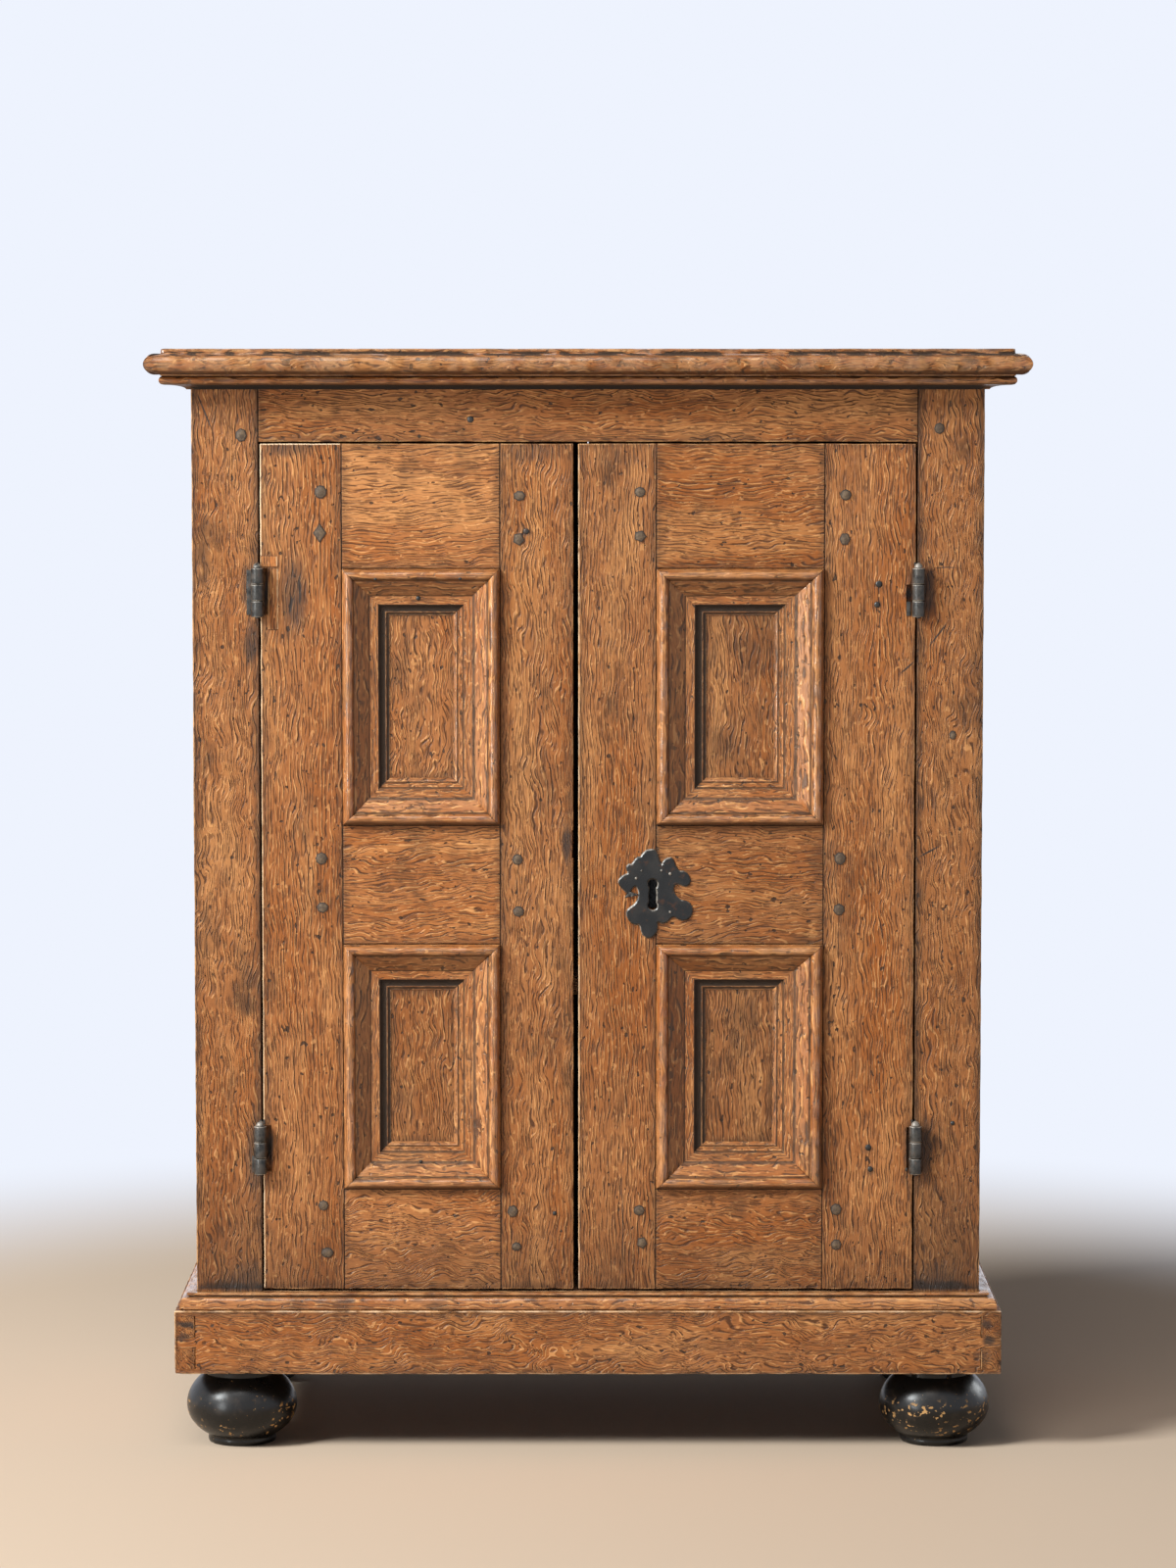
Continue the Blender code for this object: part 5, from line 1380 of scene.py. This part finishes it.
def plate(bm, low, high):
    """A small iron plate with eased edges."""
    made = bmesh.ops.create_cube(bm, size=1)
    size = [abs(b - a) for a, b in zip(low, high)]
    centre = [(a + b) / 2 for a, b in zip(low, high)]
    bmesh.ops.scale(bm, vec=size, verts=made["verts"])
    bmesh.ops.translate(bm, vec=centre, verts=made["verts"])
    bevel(bm, edges_of(made), 0.0003)


def rose_head(bm, crest, place, radius):
    """A hand-made nail head, flattened. The smallest are painted light as glints."""
    thickness, smallest = 0.0016, 0.0019
    place = Matrix.Translation(place) @ Matrix.Diagonal((radius, thickness, radius, 1))
    made = bmesh.ops.create_uvsphere(bm, u_segments=12, v_segments=7, radius=1, matrix=place)
    for vert in made["verts"]:
        vert[crest] = 1 if radius < smallest else 0.3


def hammer(bm, depth, scale):
    """Give iron the slight unevenness of forging, always inwards."""
    bm.normal_update()
    for vert in bm.verts:
        vert.co -= vert.normal * depth * swell(vert.co * scale)


class CUPBOARD_OT_hinges(bpy.types.Operator):
    """Four barrel hinges with their leaves and pins"""

    bl_idname = "cupboard.hinges"
    bl_label = "Hinges"

    bare_top = 0.0055  # of a leaf above its barrel
    bright_rim = 0.0009  # at each end of a knuckle, painted light as rubbed wear and highlight
    play = 0.0002  # at each end of a knuckle
    door_gap = 0.0015  # between a post and its door

    def execute(self, context):
        for side, name in zip((-1, 1), SIDES):
            for level in LEVELS:
                self.hinge(side, name + "_door", name + "_" + level)
        return {"FINISHED"}

    def hinge(self, side, door, stem):
        """The post's leaf with two knuckles, the door's with one, and the pin."""
        pin_low, pin_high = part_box("hinge_pin_" + stem)
        centre = (pin_low.x + pin_high.x) / 2, (pin_low.y + pin_high.y) / 2
        low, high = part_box("hinge_post_leaf_" + stem)
        barrel = centre, centre[1] - low.y
        heights = low.z, high.z
        top = high.z - self.bare_top
        share = (top - low.z) / 3
        spans = [(low.z + share * index + self.play, low.z + share * (index + 1) - self.play)
                 for index in range(3)]
        post = side * POST_INNER_X
        edge = post - side * self.door_gap
        thickness = side * LEAF_THICKNESS
        self.leaf(("post", stem), (post, post + thickness), barrel, spans[::2], heights, "carcass")
        self.leaf(("door", stem), (edge - thickness, edge), barrel, spans[1:2], heights, door)
        self.pin(stem, centre, pin_low.z, top)

    def leaf(self, names, plate_x, barrel, spans, heights, body):
        """One leaf with its knuckles, and the strip of iron that shows beside some barrels."""
        bm, crest = fresh()
        centre, radius = barrel
        left, right = sorted(plate_x)
        plate(bm, (left, FRONT_Y, heights[0]), (right, FRONT_Y + LEAF_DEPTH, heights[1]))
        for low_z, high_z in spans:
            knuckle(bm, centre, low_z, high_z, radius)
            plate(bm, (left, centre[1], low_z), (right, FRONT_Y + 0.002, high_z))
        owner, start_x, end_x, start_z, end_z = HINGE_STRIPS[names[1]]
        if (owner == "carcass") == (names[0] == "post"):
            plate(bm, (start_x, FRONT_Y - 0.0012, heights[0] + start_z),
                  (end_x, FRONT_Y + 0.0008, heights[0] + end_z))
        hammer(bm, 0.0003, 140)
        # The knuckles' ends are painted light, as rubbed wear and highlight.
        for vert in bm.verts:
            from_rim = min(abs(vert.co.z - z) for span in spans for z in span)
            vert[crest] = 1 if from_rim < self.bright_rim else 0.38
        node = "hinge_" + "_leaf_".join(names)
        add_iron("forged_" + node, bm, body, (node,))

    def pin(self, stem, centre, low_z, seat_z):
        """The pin with its domed head, which is painted light as a highlight."""
        bm, crest = fresh()
        dome = arc((0, seat_z + FIT_GAP), (0.0046, 0.0049), 0, 90, 8)
        outline = [(0, low_z), (0.0022, low_z), (0.0026, low_z + 0.0004), (0.0026, seat_z + FIT_GAP)] + dome
        turn_outline(bm, outline, 20, centre)
        for vert in bm.verts:
            vert[crest] = 1 if vert.co.z > seat_z else 0
        add_iron("forged_hinge_pin_" + stem, bm, "carcass", ("hinge_pin_" + stem,))


def turn_outline(bm, outline, steps, centre):
    """Spin an outline of radius and height round the vertical through centre."""
    verts = [bm.verts.new((radius, 0, height)) for radius, height in outline]
    edges = [bm.edges.new(pair) for pair in zip(verts, verts[1:])]
    bmesh.ops.spin(bm, geom=verts + edges, cent=(0, 0, 0), axis=(0, 0, 1), angle=math.tau,
                   steps=steps, use_merge=True)
    bmesh.ops.remove_doubles(bm, verts=bm.verts, dist=TINY)
    bmesh.ops.recalc_face_normals(bm, faces=bm.faces)
    bmesh.ops.translate(bm, vec=(*centre, 0), verts=bm.verts)


class CUPBOARD_OT_fittings(bpy.types.Operator):
    """Finish of the lock and the sliding bolt behind the doors"""

    bl_idname = "cupboard.fittings"
    bl_label = "Lock and bolt"

    sharp = 0.7  # radians between the faces of an edge that is eased

    def execute(self, context):
        for node, body in (("lock_case", "right_door"), ("lock_bolt", "lock_bolt"),
                           ("slide_bolt_plate", "left_door"), ("slide_bolt", "slide_bolt")):
            bm = copied(node)
            corners = [edge for edge in bm.edges
                       if edge.is_manifold and edge.calc_face_angle() > self.sharp]
            bevel(bm, corners, 0.0005)
            add_iron("filed_" + node, bm, body, (node,))
        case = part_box("lock_case")
        self.rivets("lock", "right_door", case, case[1].y, (0.01, 0.01))
        plate_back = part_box("slide_bolt")[0].y - 0.0004
        self.rivets("bolt", "left_door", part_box("slide_bolt_plate"), plate_back, (0.0045, 0.006))
        return {"FINISHED"}

    def rivets(self, name, body, box, seat, inset):
        """Four rivets at the corners of a plate's back."""
        low, high = box
        bm, crest = fresh()
        for x in (low.x + inset[0], high.x - inset[0]):
            for z in (low.z + inset[1], high.z - inset[1]):
                rose_head(bm, crest, (x, seat, z), 0.003)
        add_iron("rivets_" + name, bm, body)


# Feet, pegs, nails and repair

class CUPBOARD_OT_feet(bpy.types.Operator):
    """Turned and ebonised bun feet"""

    bl_idname = "cupboard.feet"
    bl_label = "Feet"

    def execute(self, context):
        for seed, name in enumerate(end + "_foot_" + side for end in ("front", "rear") for side in SIDES):
            low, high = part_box(name)
            centre = (low.x + high.x) / 2, (low.y + high.y) / 2
            bm = bmesh.new()
            turn_outline(bm, self.outline((high.x - low.x) / 2, high.z), 64, centre)
            for vert in bm.verts:
                out = Vector((vert.co.x - centre[0], vert.co.y - centre[1], 0))
                dent = max(0, noise.noise(vert.co * 130 + Vector((seed, 0, 0))) - 0.3) * 0.0014
                wave = 0.0004 * swell(vert.co * 34 + Vector((seed, 3, 0)))
                if out.length > 0.02:
                    vert.co -= out.normalized() * (wave + dent)
            add_piece("turned_" + name, bm, "black_feet", "carcass", (name,), angle=50)
        return {"FINISHED"}

    def outline(self, widest, top):
        """Half outline from the middle of the base to the top of the spigot."""
        base, neck, ring, shoulder = 0.037, 0.04, 0.008, 0.0852
        centre = (0, 0.041)
        lower_start = -math.degrees(math.acos(base / widest))
        upper_end = math.degrees(math.acos(neck / widest))
        lower = arc(centre, (widest, 0.041), lower_start, 0, 16)
        upper = arc(centre, (widest, 0.046), 0, upper_end, 16)
        return ([(0, 0), (base - 0.0026, 0), (base - 0.0008, 0.0007), (base, 0.0026),
                 (base, ring - 0.0026), (base - 0.0006, ring - 0.0008)] + lower + upper[1:]
                + [(neck, shoulder), (0.011, shoulder), (0.011, top - 0.001), (0.01, top), (0, top)])


class CUPBOARD_OT_pegs(bpy.types.Operator):
    """Draw pegs, nail heads and the let-in repair beside a hinge"""

    bl_idname = "cupboard.pegs"
    bl_label = "Pegs and nails"

    def execute(self, context):
        for body in PEGS:
            bm, crest = fresh()
            for x, z, half_width, half_height, turn, sides in PEGS[body]:
                self.peg(bm, crest, x, z, (half_width, half_height), turn, sides)
            add_piece("draw_pegs_" + body, bm, "peg_ends", body)
            bm, crest = fresh()
            for x, z, radius, seat in NAILS[body]:
                rose_head(bm, crest, (x, FRONT_Y + FIT_GAP - seat, z), radius)
            hammer(bm, 0.0002, 400)
            add_iron("nail_heads_" + body, bm, body)
        self.repair()
        return {"FINISHED"}

    def peg(self, bm, crest, x, z, halves, turn, sides):
        """A hand-cut peg that stands a little proud, with a dark sunken rim."""
        place = Matrix.Translation((x, FRONT_Y + 0.0014, z)) @ Matrix.Rotation(math.pi / 2, 4, "X")
        made = bmesh.ops.create_cone(bm, cap_ends=True, cap_tris=False, segments=sides,
                                     radius1=1.2, radius2=1.1, depth=0.004,
                                     matrix=place @ Matrix.Diagonal((*halves, 1, 1))
                                     @ Matrix.Rotation(math.radians(turn), 4, "Z"))
        front = min(vert.co.y for vert in made["verts"])
        cap = [face for face in {face for vert in made["verts"] for face in vert.link_faces}
               if all(vert.co.y < front + TINY for vert in face.verts)]
        for vert in made["verts"]:
            vert[crest] = -1
        ring = 0.0012
        for shift, value in ((-0.0002, 0.2), (-0.0005, 1)):
            inset_rim(bm, cap, ring)
            for vert in cap[0].verts:
                vert.co.y += shift
                vert[crest] = value

    def repair(self):
        """The two let-in pieces of paler oak beside the left door's upper hinge.

        Each has its x from and to, its z from and to, and its lightness.
        """
        blocks = (("let_in_block", -0.348, -0.33, 0.9505, 0.9632, 0.7),
                  ("let_in_strip", -0.3402, -0.3294, 0.8836, 0.95, 0.32))
        for seed, (name, low_x, high_x, low_z, high_z, lightness) in enumerate(blocks, 21):
            low = Vector((low_x, FRONT_Y - FIT_GAP, low_z))
            high = Vector((high_x, FRONT_Y + 0.004, high_z))
            bm = grid_box([stations(low[axis], high[axis], 0.006) for axis in range(3)])
            ease_arrises(bm, low, high, 0.0006)
            piece = add_piece(name, bm, "door_oak", "left_door")
            # Their right arrises are painted near white, partly as wear and partly as highlight.
            dress(piece.data, (lightness, 0.6, 0.3), 2, seed, low, high, "z- z+", "x+!")


# Stage

class CUPBOARD_OT_stage(bpy.types.Operator):
    """Plain floor and backdrop, soft light and the camera"""

    bl_idname = "cupboard.stage"
    bl_label = "Stage"

    def execute(self, context):
        stage = context.scene.cupboard_stage
        context.scene.view_settings.view_transform = "Standard"
        self.world(context, stage)
        floor = self.floor(stage)
        self.light("window_light", (-4.1, -2.6, 3.7), (0, 0, 0.65), (1.5, 1.5), stage.key_power)
        side = self.light("side_light", (-3.3, -3.7, 0.95), (0, -0.2, 0.75), (0.5, 1.7), stage.side_power)
        room = self.light("room_light", (4.3, 2.4, 2.0), (0, 0, 0.6), (2.0, 2.0), stage.room_power)
        self.spare(side, floor)
        self.spare(room, floor)
        self.light("ceiling_light", (-0.7, -2.3, 4.2), (0, 0, 0.6), (1.8, 1.8), stage.fill_power,
                   (1, 0.97, 0.92))
        self.camera(context)
        return {"FINISHED"}

    def world(self, context, stage):
        """Even light, with the backdrop's colour where the camera or a reflection looks past everything."""
        world = bpy.data.worlds.new("pale_room")
        context.scene.world = world
        world.use_nodes = True
        table = NodeTable(world.node_tree)
        light = table.tree.nodes["Background"]
        table.feed(light.inputs["Color"], (0.94, 0.97, 1, 1))
        table.feed(light.inputs["Strength"], stage.sky)
        backdrop = table.add("ShaderNodeBackground", None, {"Color": (*stage.backdrop, 1)})
        mixed = table.add("ShaderNodeMixShader", None,
                          {0: table.seen_ray(), 1: Signal(table, light.outputs[0]), 2: backdrop})
        table.feed(table.tree.nodes["World Output"].inputs["Surface"], mixed)

    def floor(self, stage):
        """A plain floor that fades into the backdrop away from the cupboard."""
        radius, fade_start, fade_end = 9, 0.95, 1.9
        bm = bmesh.new()
        bmesh.ops.create_circle(bm, cap_ends=True, segments=96, radius=radius)
        floor = placed_mesh("floor", bm)
        finish = Finish("plain_floor", stage.floor)
        away = finish.vector("LENGTH", object_place(finish), output="Value")
        finish.set(Base_Color=(*stage.floor, 1), Roughness=0.7, Specular_IOR_Level=0.1)
        glow = finish.add("ShaderNodeEmission", None, {"Color": (*stage.backdrop, 1), "Strength": 1})
        faded = finish.add("ShaderNodeMixShader", None,
                           {0: finish.rise(away, fade_start, fade_end) * finish.seen_ray(),
                            1: Signal(finish, finish.shader.outputs[0]), 2: glow})
        finish.feed(finish.tree.nodes["Material Output"].inputs["Surface"], faded)
        floor.data.materials.append(finish.material)
        return floor

    def spare(self, lamp, floor):
        """Keep a lamp's light off the floor, so that the shadow under the cupboard stays deep."""
        spared = bpy.data.collections.new("spared_by_" + lamp.name)
        spared.objects.link(floor)
        spared.collection_objects[0].light_linking.link_state = "EXCLUDE"
        lamp.light_linking.receiver_collection = spared

    def light(self, name, place, target, size, power, colour=(0.95, 0.995, 1)):
        """A soft rectangular lamp aimed at a target."""
        data = bpy.data.lights.new(name, "AREA")
        data.shape = "RECTANGLE"
        data.size, data.size_y = size
        data.energy = power
        data.color = colour
        lamp = placed(name, data)
        lamp.location = place
        direction = Vector(target) - Vector(place)
        lamp.rotation_euler = direction.to_track_quat("-Z", "Y").to_euler()
        return lamp

    def camera(self, context):
        """A long lens near the height of the top board, tipped down a little."""
        distance, eye_height, tip = 5.207, 1.162, 4.858
        data = bpy.data.cameras.new("camera")
        data.lens = 112.5
        data.sensor_width = 36
        camera = placed("camera", data)
        camera.location = (0, FRONT_Y - distance, eye_height)
        camera.rotation_euler = (math.radians(90 - tip), 0, 0)
        context.scene.camera = camera


# Panel and registration

GROUPS = {"cupboard_oak": OakSettings, "cupboard_iron": IronSettings, "cupboard_feet": FootSettings,
          "cupboard_stage": StageSettings}
STEPS = (CUPBOARD_OT_stage, CUPBOARD_OT_carcass, CUPBOARD_OT_boards, CUPBOARD_OT_top_board,
         CUPBOARD_OT_run_mouldings, CUPBOARD_OT_doors, CUPBOARD_OT_door_mouldings, CUPBOARD_OT_escutcheon,
         CUPBOARD_OT_hinges, CUPBOARD_OT_fittings, CUPBOARD_OT_feet, CUPBOARD_OT_pegs)


class CUPBOARD_PT_panel(bpy.types.Panel):
    """Settings and steps of the cupboard"""

    bl_idname = "CUPBOARD_PT_panel"
    bl_label = "Oak cupboard"
    bl_space_type = "VIEW_3D"
    bl_region_type = "UI"
    bl_category = "Cupboard"

    def draw(self, context):
        for group in GROUPS:
            settings = getattr(context.scene, group)
            box = self.layout.box()
            for name in settings.__annotations__:
                box.prop(settings, name)
        for step in STEPS:
            self.layout.operator(step.bl_idname)


def register():
    for name, group in GROUPS.items():
        bpy.utils.register_class(group)
        setattr(bpy.types.Scene, name, PointerProperty(type=group))
    for step in STEPS + (CUPBOARD_PT_panel,):
        bpy.utils.register_class(step)


def unregister():
    for step in reversed(STEPS + (CUPBOARD_PT_panel,)):
        bpy.utils.unregister_class(step)
    for name, group in GROUPS.items():
        delattr(bpy.types.Scene, name)
        bpy.utils.unregister_class(group)


def main():
    register()
    for step in STEPS:
        group, name = step.bl_idname.split(".")
        getattr(getattr(bpy.ops, group), name)()


if __name__ == "__main__":
    main()
